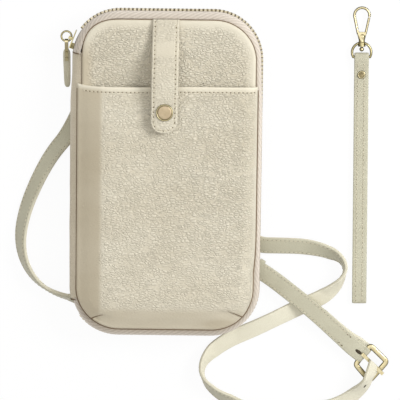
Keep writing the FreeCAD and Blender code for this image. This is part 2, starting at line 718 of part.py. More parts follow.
SHORT_ROUTE = [
    (-64.5, 17.5, FLAT), (-75.5, -4, FLAT), (-84.5, -25.5, FLAT), (-87.5, -48, FLAT), (-78.5, -67, FLAT),
    (-60, -77.5, FLAT), (-37.5, -78, FLAT), (-13, -72.5, FLAT), (9.5, -62, FLAT), (28, -52.5, FLAT),
    (44, -51, 1.8), KEEPER_POINT, (64.5, -63.8, 3.4), (74, -70, HUMP), (88, -82.8, HUMP), (106.2, -96.8, 5),
]
LONG_ROUTE = [
    (35, 30, FLAT), (32, 10, FLAT), (34, -12.5, FLAT), (43.5, -32, FLAT), (62, -42, FLAT), (82.5, -42.5, FLAT),
    (100, -48.5, FLAT), (105, -62, FLAT), (93.5, -72.5, FLAT), (75, -80.5, FLAT), (54.5, -90.5, FLAT),
    (36.5, -100, FLAT), (23, -111.5, FLAT), (22.5, -126, FLAT), (35, -136, FLAT), (55.5, -143, FLAT),
    (78, -144, FLAT), (99.5, -138, FLAT), (115, -128.5, FLAT), (124, -117, FLAT),
]
short_points = [left_start] + [Vector(*p) for p in SHORT_ROUTE] + [strap_stop]
ribbon("strap_buckle", short_points)
ribbon("strap_holes", [right_start] + [Vector(*p) for p in LONG_ROUTE])
beside = Vector(0, 0, 1).cross(buckle_way)
TAIL_ROUTE = [(1.6, 0.5), (-12, 1.2), (-27, -0.4)]
tail_floor = BUCKLE_SPOT + Vector(0, 0, FLAT)
ribbon("strap_tail", [tail_floor + buckle_way * along + beside * aside for along, aside in TAIL_ROUTE])

# Pin buckle at the end of the short strap, with its prong
buckle_turn = Rotation(Vector(0, 0, 1), BUCKLE_HEADING)
buckle_at = Placement(BUCKLE_SPOT + Vector(0, 0, NEAR_BUCKLE), buckle_turn)
buckle_frame = wire_frame(size("buckle_width"), size("buckle_length"), size("buckle_wire"), size("buckle_bend"))
buckle_frame.Placement = buckle_at
keep(buckle_frame, "buckle_frame")
prong_slot = "(sizes.prong_width + 0.8)"
buckle_flat = "-sizes.fold_layer"
fold("buckle_fold", BUCKLE_SPOT, BUCKLE_HEADING, NEAR_BUCKLE, "sizes.buckle_wire", -1, buckle_flat, prong_slot)
prong_half = "(sizes.prong_width / 2)"
prong_eye = "(sizes.buckle_wire + sizes.fold_play)"
prong_knuckle = solid("Cylinder", at=(0, "-" + prong_half, 0), turn=ALONG_Y,
                      Radius="%s + 0.9" % prong_eye, Height=size("prong_width"))
prong_bore = solid("Cylinder", at=(0, "-sizes.prong_width", 0), turn=ALONG_Y,
                   Radius=prong_eye, Height="2 * sizes.prong_width")
prong_bar = solid("Box", at=(0, "-" + prong_half, "sizes.buckle_wire + 0.3"),
                  Length="sizes.buckle_length + sizes.prong_over", Width=size("prong_width"), Height=1.2)
buckle_prong = cut(join(prong_knuckle, prong_bar), prong_bore)
buckle_prong.Placement = buckle_at
keep(buckle_prong, "buckle_prong")

# Keeper: a leather loop round the short strap where it comes out from under the pouch
keeper_spot = short_points.index(Vector(*KEEPER_POINT))
_, keeper_middle, _, _ = bend_at(*short_points[keeper_spot - 1:keeper_spot + 2])
keeper_way = (short_points[keeper_spot + 1] - short_points[keeper_spot - 1]).normalize()
keeper_side = Vector(0, 0, 1).cross(keeper_way)
keeper_turn = Rotation(keeper_way, keeper_side, keeper_way.cross(keeper_side), "XYZ")
keeper_half = "(sizes.keeper_length / 2)"
hole_width = "(sizes.strap_width + 2 * sizes.keeper_play)"
hole_height = "(sizes.strap_thick + 2 * sizes.keeper_play)"
loop_width = "(%s + 2 * sizes.keeper_wall)" % hole_width
loop_height = "(%s + 2 * sizes.keeper_wall)" % hole_height
keeper_outside = solid("Box", at=("-" + keeper_half, "-%s / 2" % loop_width, "-%s / 2" % loop_height),
                       Length=size("keeper_length"), Width=loop_width, Height=loop_height)
keeper_inside = solid("Box", at=("-sizes.keeper_length", "-%s / 2" % hole_width, "-%s / 2" % hole_height),
                      Length="2 * sizes.keeper_length", Width=hole_width, Height=hole_height)
strap_keeper = cut(keeper_outside, keeper_inside)
strap_keeper.Placement = Placement(keeper_middle, keeper_turn)
keep(strap_keeper, "strap_keeper")

# Wrist strap: doubled leather with an eye at its top, lying beside the pouch
wrist_eye = "(sizes.loop_wire + sizes.fold_play)"
wrist_level = "(%s + sizes.wrist_layer)" % wrist_eye
wrist_long = "(sizes.wrist_top - sizes.wrist_end)"
wrist_half = "(sizes.wrist_width / 2)"
wrist_place = Placement(Vector(value("sizes.wrist_x"), value("sizes.wrist_top"), value(wrist_level)),
                        Rotation(Vector(0, 0, 1), value("sizes.wrist_turn")))
wrist_slab = solid("Box", at=("-" + wrist_half, "-" + wrist_long, "-" + wrist_level), Length=size("wrist_width"),
                   Width=wrist_long, Height="2 * sizes.wrist_layer")
wrist_knuckle = solid("Cylinder", at=("-" + wrist_half, 0, 0), turn=ALONG_X, Radius=wrist_level,
                      Height=size("wrist_width"))
wrist_bore = solid("Cylinder", at=("-sizes.wrist_width", 0, 0), turn=ALONG_X, Radius=wrist_eye,
                   Height="2 * sizes.wrist_width")
rivet_y = "sizes.wrist_rivet_y - sizes.wrist_top"
wrist_hole = solid("Cylinder", at=(0, rivet_y, "-2 * " + wrist_level), Radius=size("wrist_shank"),
                   Height="4 * " + wrist_level)
wrist_strap = cut(join(wrist_slab, wrist_knuckle), wrist_bore, wrist_hole)
wrist_strap.Placement = wrist_place
keep(wrist_strap, "wrist_strap")
rivet_shank = solid("Cylinder", at=(0, rivet_y, "-" + wrist_level), Radius=size("wrist_shank"),
                    Height="2 * sizes.wrist_layer")
rivet_head = solid("Cylinder", at=(0, rivet_y, "2 * sizes.wrist_layer - %s" % wrist_level),
                   Radius=size("wrist_rivet"), Height=size("wrist_rivet_rise"))
wrist_rivet = join(rivet_shank, rivet_head)
wrist_rivet.Placement = wrist_place
keep(wrist_rivet, "wrist_rivet")

# Clasp loop: a straight bar in the strap's eye, a round bow, and a boss that the swivel stem turns in
chord = math.sqrt(value("sizes.loop_radius") ** 2 - value("sizes.loop_rise") ** 2)
dip = math.degrees(math.asin(value("sizes.loop_rise / sizes.loop_radius")))
loop_crown = "(sizes.loop_rise + sizes.loop_radius)"
boss_under = "(%s - sizes.boss_drop - sizes.boss_length / 2)" % loop_crown
loop_forms = [
    solid("Cylinder", at=(-chord, 0, 0), turn=ALONG_X, Radius=size("loop_wire"), Height=2 * chord),
    solid("Sphere", at=(-chord, 0, 0), Radius=size("loop_wire")),
    solid("Sphere", at=(chord, 0, 0), Radius=size("loop_wire")),
    solid("Torus", at=(0, size("loop_rise"), 0), turn=Rotation(Vector(0, 0, 1), -dip),
          Radius1=size("loop_radius"), Radius2=size("loop_wire"), Angle3=180 + 2 * dip),
    solid("Cylinder", at=(0, boss_under, 0), turn=ALONG_Y, Radius=size("boss_radius"), Height=size("boss_length")),
]
stem_bore = solid("Cylinder", at=(0, "%s - sizes.boss_length" % boss_under, 0), turn=ALONG_Y,
                  Radius="sizes.stem_radius + sizes.fold_play", Height="3 * sizes.boss_length")
clasp_loop = cut(join(*loop_forms), stem_bore)
clasp_loop.Placement = wrist_place
keep(clasp_loop, "clasp_loop")

# Hook that turns on the loop: stem, flat hub, a long left leg and a round bow that ends at the gate
stem_head = "(sizes.stem_radius + sizes.stem_lip)"
head_y = "(%s - sizes.swivel_play - %s)" % (boss_under, stem_head)
neck_y = "(%s + sizes.boss_length + sizes.swivel_play)" % boss_under
hub_y = "(%s + sizes.neck_length)" % neck_y
hub_top = "(%s + sizes.hub_length)" % hub_y
pivot_x = "(sizes.hub_head - sizes.gate_in)"
pivot_y = "(%s - sizes.gate_down)" % hub_top
bow_y = "(%s + sizes.hook_reach)" % pivot_y
bow_radius = value("sizes.hook_radius")
leg_foot = math.hypot(value(pivot_x), value("sizes.hook_reach"))
lean = math.acos(bow_radius / leg_foot) - math.atan2(value("sizes.hook_reach"), value(pivot_x))
leg_long = math.sqrt(leg_foot ** 2 - bow_radius ** 2)
left_leg = Rotation(Vector(0, 0, 1), Vector(math.sin(lean), math.cos(lean), 0))
right_leg = Rotation(Vector(0, 0, 1), Vector(-math.sin(lean), math.cos(lean), 0))
lean_deg = math.degrees(lean)
hub_cone = solid("Cone", at=(0, hub_y, 0), turn=ALONG_Y, Radius1=size("hub_foot"), Radius2=size("hub_head"),
                 Height=size("hub_length"))
hub_slab = solid("Box", at=("-2 * sizes.hub_head", hub_y, "-sizes.hub_half"), Length="4 * sizes.hub_head",
                 Width=size("hub_length"), Height="2 * sizes.hub_half")
hub = doc.addObject("Part::Common", "form_hub")
hub.Base = hub_cone
hub.Tool = hub_slab
slot_half = "(sizes.gate_wire + sizes.gate_play)"
gate_slot = solid("Box", at=("%s - sizes.gate_down" % pivot_x, "%s - sizes.gate_down" % pivot_y, "-" + slot_half),
                  Length="2 * sizes.hub_head", Width="sizes.hub_length", Height="2 * " + slot_half)
hook_forms = [
    solid("Sphere", at=(0, head_y, 0), Radius=stem_head),
    solid("Cylinder", at=(0, head_y, 0), turn=ALONG_Y, Radius=size("stem_radius"), Height="%s - %s" % (hub_y, head_y)),
    solid("Cylinder", at=(0, neck_y, 0), turn=ALONG_Y, Radius=size("hub_foot"), Height=size("neck_length")),
    cut(hub, gate_slot),
    solid("Cylinder", at=(0, "(%s + %s) / 2" % (hub_y, pivot_y), 0), Radius=size("hub_rivet"),
          Height="sizes.hub_half + sizes.hub_rivet_rise"),
    solid("Cylinder", at=("-" + pivot_x, pivot_y, 0), turn=left_leg, Radius=size("hook_wire"), Height=leg_long),
    solid("Torus", at=(0, bow_y, 0), turn=Rotation(Vector(0, 0, 1), lean_deg), Radius1=size("hook_radius"),
          Radius2=size("hook_wire"), Angle3=180 - 2 * lean_deg),
]
pin_hole = solid("Cylinder", at=(pivot_x, pivot_y, "-2 * sizes.hub_half"), Radius=size("gate_pin"),
                 Height="4 * sizes.hub_half")
clasp_hook = cut(join(*hook_forms), pin_hole)
clasp_hook.Placement = wrist_place
keep(clasp_hook, "clasp_hook")

# Gate: a straight bar from its pin in the hub up to the end of the bow
gate_bar = solid("Cylinder", at=(pivot_x, pivot_y, 0), turn=right_leg, Radius=size("gate_wire"),
                 Height="%s - sizes.gate_stop" % leg_long)
gate_knuckle = solid("Sphere", at=(pivot_x, pivot_y, 0), Radius=size("gate_wire"))
gate_bore = solid("Cylinder", at=(pivot_x, pivot_y, "-2 * sizes.hub_half"), Radius="sizes.gate_pin + 0.12",
                  Height="4 * sizes.hub_half")
clasp_gate = cut(join(gate_bar, gate_knuckle), gate_bore)
clasp_gate.Placement = wrist_place
keep(clasp_gate, "clasp_gate")
gate_pin = solid("Cylinder", at=(pivot_x, pivot_y, "-sizes.hub_half"), Radius=size("gate_pin"),
                 Height="2 * sizes.hub_half")
gate_pin.Placement = wrist_place.multiply(gate_pin.Placement)
keep(gate_pin, "gate_pin")

doc.recompute()
for obj in doc.Objects:
    if "Invalid" in obj.State or "Error" in obj.State:
        raise ValueError("feature failed: %s %s" % (obj.Label, obj.State))
for node in nodes:
    if node.Shape.isNull() or not node.Shape.isValid():
        raise ValueError("bad shape: " + node.Label)
os.makedirs("parts", exist_ok=True)
for node in nodes:
    node.Shape.exportStep("parts/%s.step" % node.Label)
    box = node.Shape.BoundBox
    print("%-20s solids %3d  x %7.1f %7.1f  y %7.1f %7.1f  z %6.2f %6.2f" % (
        node.Label, len(node.Shape.Solids), box.XMin, box.XMax, box.YMin, box.YMax, box.ZMin, box.ZMax))
print(len(nodes), "pieces")
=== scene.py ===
# %% [markdown]
# A leather phone pouch lies on its back on a pale table, with its shoulder strap
# looped round it and a wrist strap laid beside it. The solids of every piece are
# already placed in one frame, in metres, with +Z out of the pouch's front. This
# lesson dresses them: soft leather, cloth tape, metal fittings and thread.

# %% Load the frame
import math

import bpy
import numpy as np
from mathutils import Matrix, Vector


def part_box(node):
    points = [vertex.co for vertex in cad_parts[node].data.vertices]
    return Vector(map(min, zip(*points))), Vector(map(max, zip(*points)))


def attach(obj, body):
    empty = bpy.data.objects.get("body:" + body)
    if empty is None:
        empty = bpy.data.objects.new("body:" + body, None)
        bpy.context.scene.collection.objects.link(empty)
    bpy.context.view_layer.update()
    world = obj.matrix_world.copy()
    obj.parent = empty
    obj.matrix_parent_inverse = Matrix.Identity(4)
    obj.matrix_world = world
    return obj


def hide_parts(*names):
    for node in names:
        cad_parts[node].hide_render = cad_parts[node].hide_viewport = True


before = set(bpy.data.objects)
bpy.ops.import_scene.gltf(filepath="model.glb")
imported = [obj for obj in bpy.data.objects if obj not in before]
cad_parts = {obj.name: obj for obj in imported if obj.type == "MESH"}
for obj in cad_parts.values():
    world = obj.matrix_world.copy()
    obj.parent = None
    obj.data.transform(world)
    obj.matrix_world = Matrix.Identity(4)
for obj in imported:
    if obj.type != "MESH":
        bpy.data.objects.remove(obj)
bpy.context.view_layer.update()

MM = 0.001

# %% [markdown]
# The picture is a flat lay taken from above with a long lens. The camera leans a
# little towards the pouch's top, so the upper zip band shows wider than the lower
# one. One picture element covers about 0.59 mm of the table, which fixes the lens.

# %% Camera
PICTURE = 400
PIXEL = 0.5862 * MM
SENSOR = 36
DISTANCE = 1.5
LEAN = math.radians(8)
ROLL = math.radians(0.7)
AIM = np.array([20.3, -16.0, 13.0]) * MM
scene = bpy.context.scene


def new_object(name, data):
    """Object with the given data, linked into the scene."""
    made = bpy.data.objects.new(name, data)
    scene.collection.objects.link(made)
    return made


camera_data = bpy.data.cameras.new("flat_lay_camera")
camera_data.sensor_width = SENSOR
camera_data.lens = SENSOR * DISTANCE / (PICTURE * PIXEL)
camera = new_object("flat_lay_camera", camera_data)
camera.location = AIM + DISTANCE * np.array([0, math.sin(LEAN), math.cos(LEAN)])
camera.rotation_euler = (Matrix.Rotation(-LEAN, 4, "X") @ Matrix.Rotation(ROLL, 4, "Z")).to_euler()
scene.camera = camera
scene.view_settings.view_transform = "Standard"
print("lens", round(camera_data.lens, 1), "mm")

# %% [markdown]
# Every finish below is a small tree of nodes. These helpers add one node each, so
# that a finish reads as a list of what it is made of: a base, patterns on it, and
# ramps that turn a pattern into a colour or a roughness.

# %% Node helpers
WHITE = (1, 1, 1)
BLACK = (0, 0, 0)


def feed(tree, node, inputs):
    """Fill inputs by name or number: sockets are linked, colours get a fourth value, the rest is set."""
    for name, value in inputs.items():
        socket = node.inputs[name]
        if isinstance(value, bpy.types.NodeSocket):
            tree.links.new(value, socket)
        else:
            socket.default_value = (*value, 1) if socket.type == "RGBA" else value


def add(tree, kind, inputs=None, **settings):
    """New node of a kind with its settings made and its inputs filled; returns its outputs."""
    node = tree.nodes.new("ShaderNode" + kind)
    for name, value in settings.items():
        setattr(node, name, value)
    feed(tree, node, inputs or {})
    return node.outputs


def new_finish(name, colour, roughness, metallic=0.0):
    """Principled finish with plain values on its own sockets; returns it with its tree and shader."""
    finish = bpy.data.materials.new(name)
    finish.use_nodes = True
    tree = finish.node_tree
    shader = tree.nodes["Principled BSDF"]
    feed(tree, shader, {"Base Color": colour, "Roughness": roughness, "Metallic": metallic})
    return finish, tree, shader


def ramp(tree, source, *stops):
    """Colour ramp from pairs of position and colour, fed by a socket."""
    node = tree.nodes.new("ShaderNodeValToRGB")
    for index, (place, colour) in enumerate(stops):
        stop = node.color_ramp.elements[index] if index < 2 else node.color_ramp.elements.new(place)
        stop.position = place
        stop.color = (*colour, 1)
    feed(tree, node, {"Fac": source})
    return node.outputs["Color"]


def grey(value):
    """One value for all three colours or axes."""
    return (value,) * 3


def texture(tree, kind, scale, place, **inputs):
    """Outputs of a texture of one kind on the given coordinates."""
    return add(tree, "Tex" + kind, {"Scale": scale, "Vector": place, **inputs})


def math_node(tree, operation, first, second):
    """One sum on two inputs, each a socket or a number."""
    return add(tree, "Math", {0: first, 1: second}, operation=operation)[0]


def blend_colour(tree, blend, first, second, share):
    """Mix of two colours by a share; each is a socket or a plain value."""
    return add(tree, "Mix", {"Factor": share, "A": first, "B": second},
               data_type="RGBA", blend_type=blend)["Result"]


def bump(tree, height, strength, depth):
    """Bump of a depth in metres, driven by a height socket."""
    return add(tree, "Bump", {"Strength": strength, "Distance": depth, "Height": height})["Normal"]


def coords(tree, kind="Object"):
    """Coordinates of one kind."""
    return add(tree, "TexCoord")[kind]


def axis_of(tree, vector, axis):
    """One axis of a vector."""
    return add(tree, "SeparateXYZ", {0: vector})[axis]


def own_value(tree, name):
    """Value that a piece carries at each of its points."""
    return add(tree, "Attribute", attribute_name=name)["Fac"]


print("node helpers are ready")

# %% [markdown]
# Soft studio light: one broad key lamp at half height on the right, which throws
# the tab's shadow to the left and models the grain, a weak lamp overhead, and a
# surround that is bright above and dimmer towards the horizon, so that sides
# turned away from the key lamp keep their colour. The table is white to the eye
# and in reflections, and still takes a faint shadow.

# %% Light and table
TABLE_REACH = 3.0
TABLE_LEVEL = -0.0002
TABLE_WHITE = 0.94


def unit(vectors):
    """Vectors scaled to length one."""
    return vectors / np.linalg.norm(vectors, axis=-1, keepdims=True)


def area_lamp(name, place, width, watts):
    """Square lamp at a place, turned to face the middle of the table."""
    data = bpy.data.lights.new(name, "AREA")
    data.size = width
    data.energy = watts
    away = unit(np.array(place))
    side = unit(np.cross([0, 1, 0], away))
    way = Matrix(np.stack([side, np.cross(away, side), away], axis=1).tolist())
    new_object(name, data).matrix_world = Matrix.Translation(place) @ way.to_4x4()


def table_finish():
    """White table: what the camera, mirrors and glass see is mostly plain white light."""
    finish = bpy.data.materials.new("white_table")
    finish.use_nodes = True
    tree = finish.node_tree
    tree.nodes.clear()
    matt = add(tree, "BsdfDiffuse", {"Color": grey(0.9)})[0]
    glow = add(tree, "Emission")[0]
    rays = add(tree, "LightPath")
    seen = math_node(tree, "MAXIMUM", rays["Is Camera Ray"], rays["Is Glossy Ray"])
    seen = math_node(tree, "MAXIMUM", seen, rays["Is Transmission Ray"])
    mix = add(tree, "MixShader", {0: math_node(tree, "MULTIPLY", seen, TABLE_WHITE), 1: matt, 2: glow})[0]
    add(tree, "OutputMaterial", {0: mix})
    return finish


area_lamp("key_right", (0.82, 0.36, 0.80), 0.45, 9.0)
area_lamp("overhead", (-0.2, 0.1, 1.25), 0.9, 2.2)

world = bpy.data.worlds.new("studio_sky")
world.use_nodes = True
sky = world.node_tree
sky_colour = ramp(sky, axis_of(sky, coords(sky, "Generated"), "Z"),
                  (0.0, (0.36, 0.35, 0.33)), (0.45, (0.50, 0.49, 0.47)), (0.9, (0.86, 0.85, 0.83)))
feed(sky, sky.nodes["Background"], {"Color": sky_colour})
scene.world = world

table_mesh = bpy.data.meshes.new("table")
table_mesh.from_pydata([(x * TABLE_REACH, y * TABLE_REACH, TABLE_LEVEL)
                        for x, y in ((-1, -1), (1, -1), (1, 1), (-1, 1))], [], [(0, 1, 2, 3)])
table_mesh.materials.append(table_finish())
table = new_object("table", table_mesh)
print("lamps and table are in")

# %% [markdown]
# Leather shows three things at once: a pebbled grain of small rounded cells, a
# slow mottling of its colour, and a soft sheen. The grain is a cell pattern: the
# distance to the nearest crease, rounded off, is the height of each pebble, and
# the creases get a little painted shade. Hides are stretched flat near seams and hems,
# so the pouch's pieces carry values of their own: how much grain shows, how much an
# edge is rubbed pale, and where painted shade darkens the leather.

# %% Leather finishes
GRAIN_STRETCH = (0.62, 1.24, 1.0)
GRAIN_TURN = math.radians(-14)
MOTTLE = 34.0
CREASE_SHADE_TINT = (0.80, 0.77, 0.72)
CREASE_SHADE_SHARE = 0.5
PAINTED_SHADE_TINT = (0.80, 0.76, 0.70)
RUBBED_GAIN = 1.16


def leather(name, light, dark, grain, depth, roughness=0.5, own_marks=False):
    """Pebbled leather: grain is the number of pebbles per metre, depth the bump's height in metres."""
    finish, tree, shader = new_finish(name, light, roughness)
    place = add(tree, "Mapping", {"Scale": GRAIN_STRETCH, "Rotation": (0, 0, GRAIN_TURN),
                                  "Vector": coords(tree)})[0]
    warp = texture(tree, "Noise", grain * 0.3, place, Detail=2.0)["Color"]
    bent = add(tree, "VectorMath", {0: warp, 1: grey(1.3 / grain), 2: place}, operation="MULTIPLY_ADD")[0]
    cells = add(tree, "TexVoronoi", {"Scale": grain, "Vector": bent}, feature="DISTANCE_TO_EDGE")
    pebble = add(tree, "MapRange", {"Value": cells["Distance"], "From Max": 0.3},
                 interpolation_type="SMOOTHSTEP")["Result"]
    fine = texture(tree, "Noise", grain * 3.0, place, Detail=3.0)["Fac"]
    mottle = texture(tree, "Noise", MOTTLE, place, Detail=4.0, Roughness=0.55)["Fac"]
    tone = ramp(tree, mottle, (0.34, dark), (0.66, light))
    # Painted shade in the creases: a darker tint where the pebbles meet.
    crease_shade = ramp(tree, pebble, (0.0, CREASE_SHADE_TINT), (0.55, WHITE))
    crease_shade_share = CREASE_SHADE_SHARE
    if own_marks:
        shown = own_value(tree, "grain")
        pebble = math_node(tree, "MULTIPLY", pebble, shown)
        crease_shade_share = math_node(tree, "MULTIPLY", shown, CREASE_SHADE_SHARE)
        pale = tuple(min(value * RUBBED_GAIN, 1.0) for value in light)
        tone = blend_colour(tree, "MIX", tone, pale, own_value(tree, "rubbed"))
        # Painted shade: each piece's own shade value darkens its colour.
        tone = blend_colour(tree, "MULTIPLY", tone, PAINTED_SHADE_TINT, own_value(tree, "painted_shade"))
    height = math_node(tree, "ADD", pebble, math_node(tree, "MULTIPLY", fine, 0.18))
    feed(tree, shader, {
        "Base Color": blend_colour(tree, "MULTIPLY", tone, crease_shade, crease_shade_share),
        "Roughness": ramp(tree, fine, (0.3, grey(roughness - 0.06)), (0.7, grey(roughness + 0.08))),
        "Normal": bump(tree, height, 0.8, depth),
        "Sheen Weight": 0.1, "Sheen Roughness": 0.4, "Specular IOR Level": 0.35})
    return finish


CREAM = (0.678, 0.634, 0.520)
CREAM_DEEP = (0.624, 0.575, 0.459)
pouch_leather = leather("pouch_leather", CREAM, CREAM_DEEP, 650, 0.00060, 0.55, own_marks=True)
spine_leather = leather("spine_leather", (0.640, 0.575, 0.455), (0.590, 0.525, 0.405), 900, 0.00010)
strap_leather = leather("strap_leather", (0.560, 0.545, 0.425), (0.510, 0.490, 0.375), 1500, 0.00010, 0.48)
strap_back = leather("strap_back", (0.800, 0.775, 0.640), (0.750, 0.720, 0.585), 2600, 0.00006, 0.7)
strap_edge = leather("strap_edge", (0.680, 0.650, 0.520), (0.620, 0.590, 0.465), 2600, 0.00006, 0.6)
pull_leather = leather("pull_leather", (0.650, 0.622, 0.495), (0.590, 0.562, 0.440), 1500, 0.00010, 0.5)
print("leathers:", pouch_leather.name, strap_leather.name)

# %% [markdown]
# The fittings are pale gold, and metal gets its life from what it mirrors and from
# small changes of polish, so its roughness follows a fine noise. Sides that turn
# down get some patina and a painted dark reflection. The zip tape is twill: slanting
# ribs on the tape's own length and width, with painted shade beside its seam, least
# at the pouch's top. The dark finishes are for seams, where raw edges meet in a groove
# and painted shade darkens them, and painted shade for needle holes and slots.

# %% Metal, cloth and thread finishes
TAPE_SHADE = 5.5 * MM
RIB_SLANT = math.radians(-52)


def metal(name, light, dark, roughness, patina_and_shade=None):
    """Metal whose colour and polish vary a little; sides that turn down may get patina and a painted dark reflection.
    """
    finish, tree, shader = new_finish(name, light, roughness, 1.0)
    cloud = texture(tree, "Noise", 420.0, coords(tree), Detail=3.0)["Fac"]
    tone = ramp(tree, cloud, (0.3, dark), (0.65, light))
    if patina_and_shade:
        # Painted dark reflection, with some patina, on sides that turn away from up.
        upright = ramp(tree, axis_of(tree, coords(tree, "Normal"), "Z"), (0.70, WHITE), (0.99, BLACK))
        tone = blend_colour(tree, "MIX", tone, patina_and_shade, upright)
    polish = ramp(tree, cloud, (0.3, grey(roughness + 0.1)), (0.7, grey(roughness - 0.05)))
    feed(tree, shader, {"Base Color": tone, "Roughness": polish})
    return finish


def twill(name, light, dark, ribs, by_length=True):
    """Cloth: slanting ribs over the piece's own length and width with painted shade at its seam, or over its place.
    """
    finish, tree, shader = new_finish(name, light, 0.85)
    place = add(tree, "UVMap")["UV"] if by_length else coords(tree)
    slant = add(tree, "Mapping", {"Rotation": (0, 0, RIB_SLANT), "Vector": place})[0]
    rib = texture(tree, "Wave", ribs, slant, Distortion=0.6)["Fac"]
    grit = texture(tree, "Noise", 900.0, place, Detail=2.0)["Fac"]
    tone = ramp(tree, rib, (0.2, dark), (0.75, light))
    cloth = blend_colour(tree, "MULTIPLY", tone, ramp(tree, grit, (0.3, (0.86, 0.85, 0.84)), (0.7, WHITE)), 0.7)
    if by_length:
        # Painted shade beside the seam, weaker towards the pouch's top.
        from_seam = math_node(tree, "MULTIPLY", axis_of(tree, place, "Y"), 1 / TAPE_SHADE)
        painted_seam_shade = ramp(tree, from_seam, (0.0, (0.52, 0.50, 0.46)), (0.3, (0.62, 0.60, 0.56)), (1.0, WHITE))
        up_pouch = math_node(tree, "MULTIPLY", axis_of(tree, coords(tree), "Y"), 10.0)
        lower = ramp(tree, up_pouch, (0.45, WHITE), (0.85, grey(0.4)))
        cloth = blend_colour(tree, "MULTIPLY", cloth, painted_seam_shade, lower)
    feed(tree, shader, {"Base Color": cloth, "Normal": bump(tree, rib, 0.6, 0.00018),
                        "Sheen Weight": 0.2, "Specular IOR Level": 0.2})
    return finish


pale_gold = metal("pale_gold", (0.78, 0.69, 0.44), (0.66, 0.57, 0.33), 0.32, (0.115, 0.095, 0.035))
# A dimmer copy of the gold for the slider, pull ring and clasp loop: painted shade.
ring_gold_shaded = metal("ring_gold_shaded", (0.58, 0.51, 0.29), (0.34, 0.29, 0.14), 0.34, (0.10, 0.085, 0.03))
# A dark copy of the gold for the rivet's sunk face and the swivel collar: painted shade.
shaded_gold = metal("shaded_gold", (0.30, 0.25, 0.14), (0.20, 0.165, 0.09), 0.3)
snap_gold = metal("snap_gold", (0.50, 0.405, 0.27), (0.465, 0.375, 0.245), 0.46)
tooth_pale = metal("tooth_pale", (0.62, 0.56, 0.42), (0.50, 0.44, 0.31), 0.4)
# The back teeth get a dark copy of the tooth brass: painted shade in the gaps.
tooth_shaded = metal("tooth_shaded", (0.30, 0.25, 0.16), (0.21, 0.175, 0.11), 0.5)
tape_twill = twill("tape_twill", (0.750, 0.682, 0.600), (0.640, 0.573, 0.498), 135.0)
lining_weave = twill("lining_weave", (0.50, 0.45, 0.38), (0.40, 0.35, 0.29), 260.0, by_length=False)
thread = leather("waxed_thread", (0.700, 0.650, 0.520), (0.640, 0.590, 0.460), 3000, 0.00005, 0.6)
seam_shade = leather("seam_shade", (0.215, 0.150, 0.090), (0.165, 0.113, 0.066), 2000, 0.00005, 0.8)
slot_shade = leather("slot_shade", (0.070, 0.055, 0.034), (0.045, 0.036, 0.022), 2000, 0.00005, 0.9)
needle_shade = leather("needle_shade", (0.230, 0.190, 0.120), (0.190, 0.155, 0.095), 2000, 0.00005, 0.9)
print("metals:", pale_gold.name, tooth_pale.name)

# %% [markdown]
# Every new piece is a grid of points worked out as one array. Small helpers turn
# such a grid into a mesh, with a map of its own length and width, and give it to
# the body that it moves with. The sign of the enclosed volume tells which way the
# faces look, so they can always be turned outwards.

# %% Grid helpers
def grid_faces(rows, columns, wrap_rows=False, wrap_columns=True):
    """Quads that join each grid point to its neighbours, optionally closed round either way."""
    row = np.arange(rows if wrap_rows else rows - 1)[:, None]
    column = np.arange(columns if wrap_columns else columns - 1)
    below = (row + 1) % rows
    beside = (column + 1) % columns
    corners = [row * columns + column, below * columns + column,
               below * columns + beside, row * columns + beside]
    return np.stack(np.broadcast_arrays(*corners), axis=-1).reshape(-1, 4)


def outward(points, faces):
    """Faces turned so that the volume, a sum of corner products over all quads, is positive."""
    a, b, c, d = (points[faces[:, corner]] for corner in range(4))
    volume = np.sum(a * np.cross(b, c)) + np.sum(a * np.cross(c, d))
    return faces if volume > 0 else faces[:, ::-1]


def make_piece(name, points, finish, body, nodes=(), uv=None, marks=None, faces=None,
               wrap=(False, True)):
    """Mesh object on a grid of points (rows, columns, 3) in metres, or on given quads, riding on a body."""
    faces = grid_faces(*points.shape[:2], *wrap) if faces is None else faces
    points = points.reshape(-1, 3)
    mesh = bpy.data.meshes.new(name)
    mesh.from_pydata(points.tolist(), [], outward(points - points.mean(axis=0), faces).tolist())
    if uv is not None:
        layer = mesh.uv_layers.new(name="length_width")
        loops = np.empty(len(mesh.loops), dtype=np.int32)
        mesh.loops.foreach_get("vertex_index", loops)
        layer.data.foreach_set("uv", uv.reshape(-1, 2)[loops].ravel())
    for mark, values in (marks or {}).items():
        layer = mesh.attributes.new(mark, "FLOAT", "POINT")
        layer.data.foreach_set("value", values.astype(np.float32).ravel())
    mesh.polygons.foreach_set("use_smooth", np.ones(len(mesh.polygons), dtype=bool))
    mesh.materials.append(finish)
    mesh.update()
    piece = new_object(name, mesh)
    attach(piece, body)
    if nodes:
        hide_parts(*nodes)
    print(name, len(faces), "faces")
    return piece


print("a grid of 3 by 4 closed round has", len(grid_faces(3, 4)), "faces")

# %% [markdown]
# A stitch is a short bead of thread that lies in the leather and dips at both
# ends, with a needle hole between each two. One bead is a ring of six points
# carried along six places, and a whole row of them is one array. The holes are
# flat discs of painted shade, of six points each.

# %% Stitches
UP = np.array([0.0, 0.0, 1.0])
BEAD = 6
DISC = 4
BEAD_LENGTH = 0.74
HOLE_PROUD = 0.05 * MM
HOLE_DEEP = 0.12 * MM


def circle(count):
    """Angles of evenly spaced points once round."""
    return np.linspace(0, 2 * np.pi, count, endpoint=False)


def run_along(line):
    """Distance from a line's start at each of its points."""
    return np.concatenate([[0], np.cumsum(np.linalg.norm(np.diff(line, axis=0), axis=1))])


def read_at(line, run, want):
    """A line's values at wanted distances, each axis read between its neighbours."""
    return np.stack([np.interp(want, run, column) for column in line.T], axis=1)


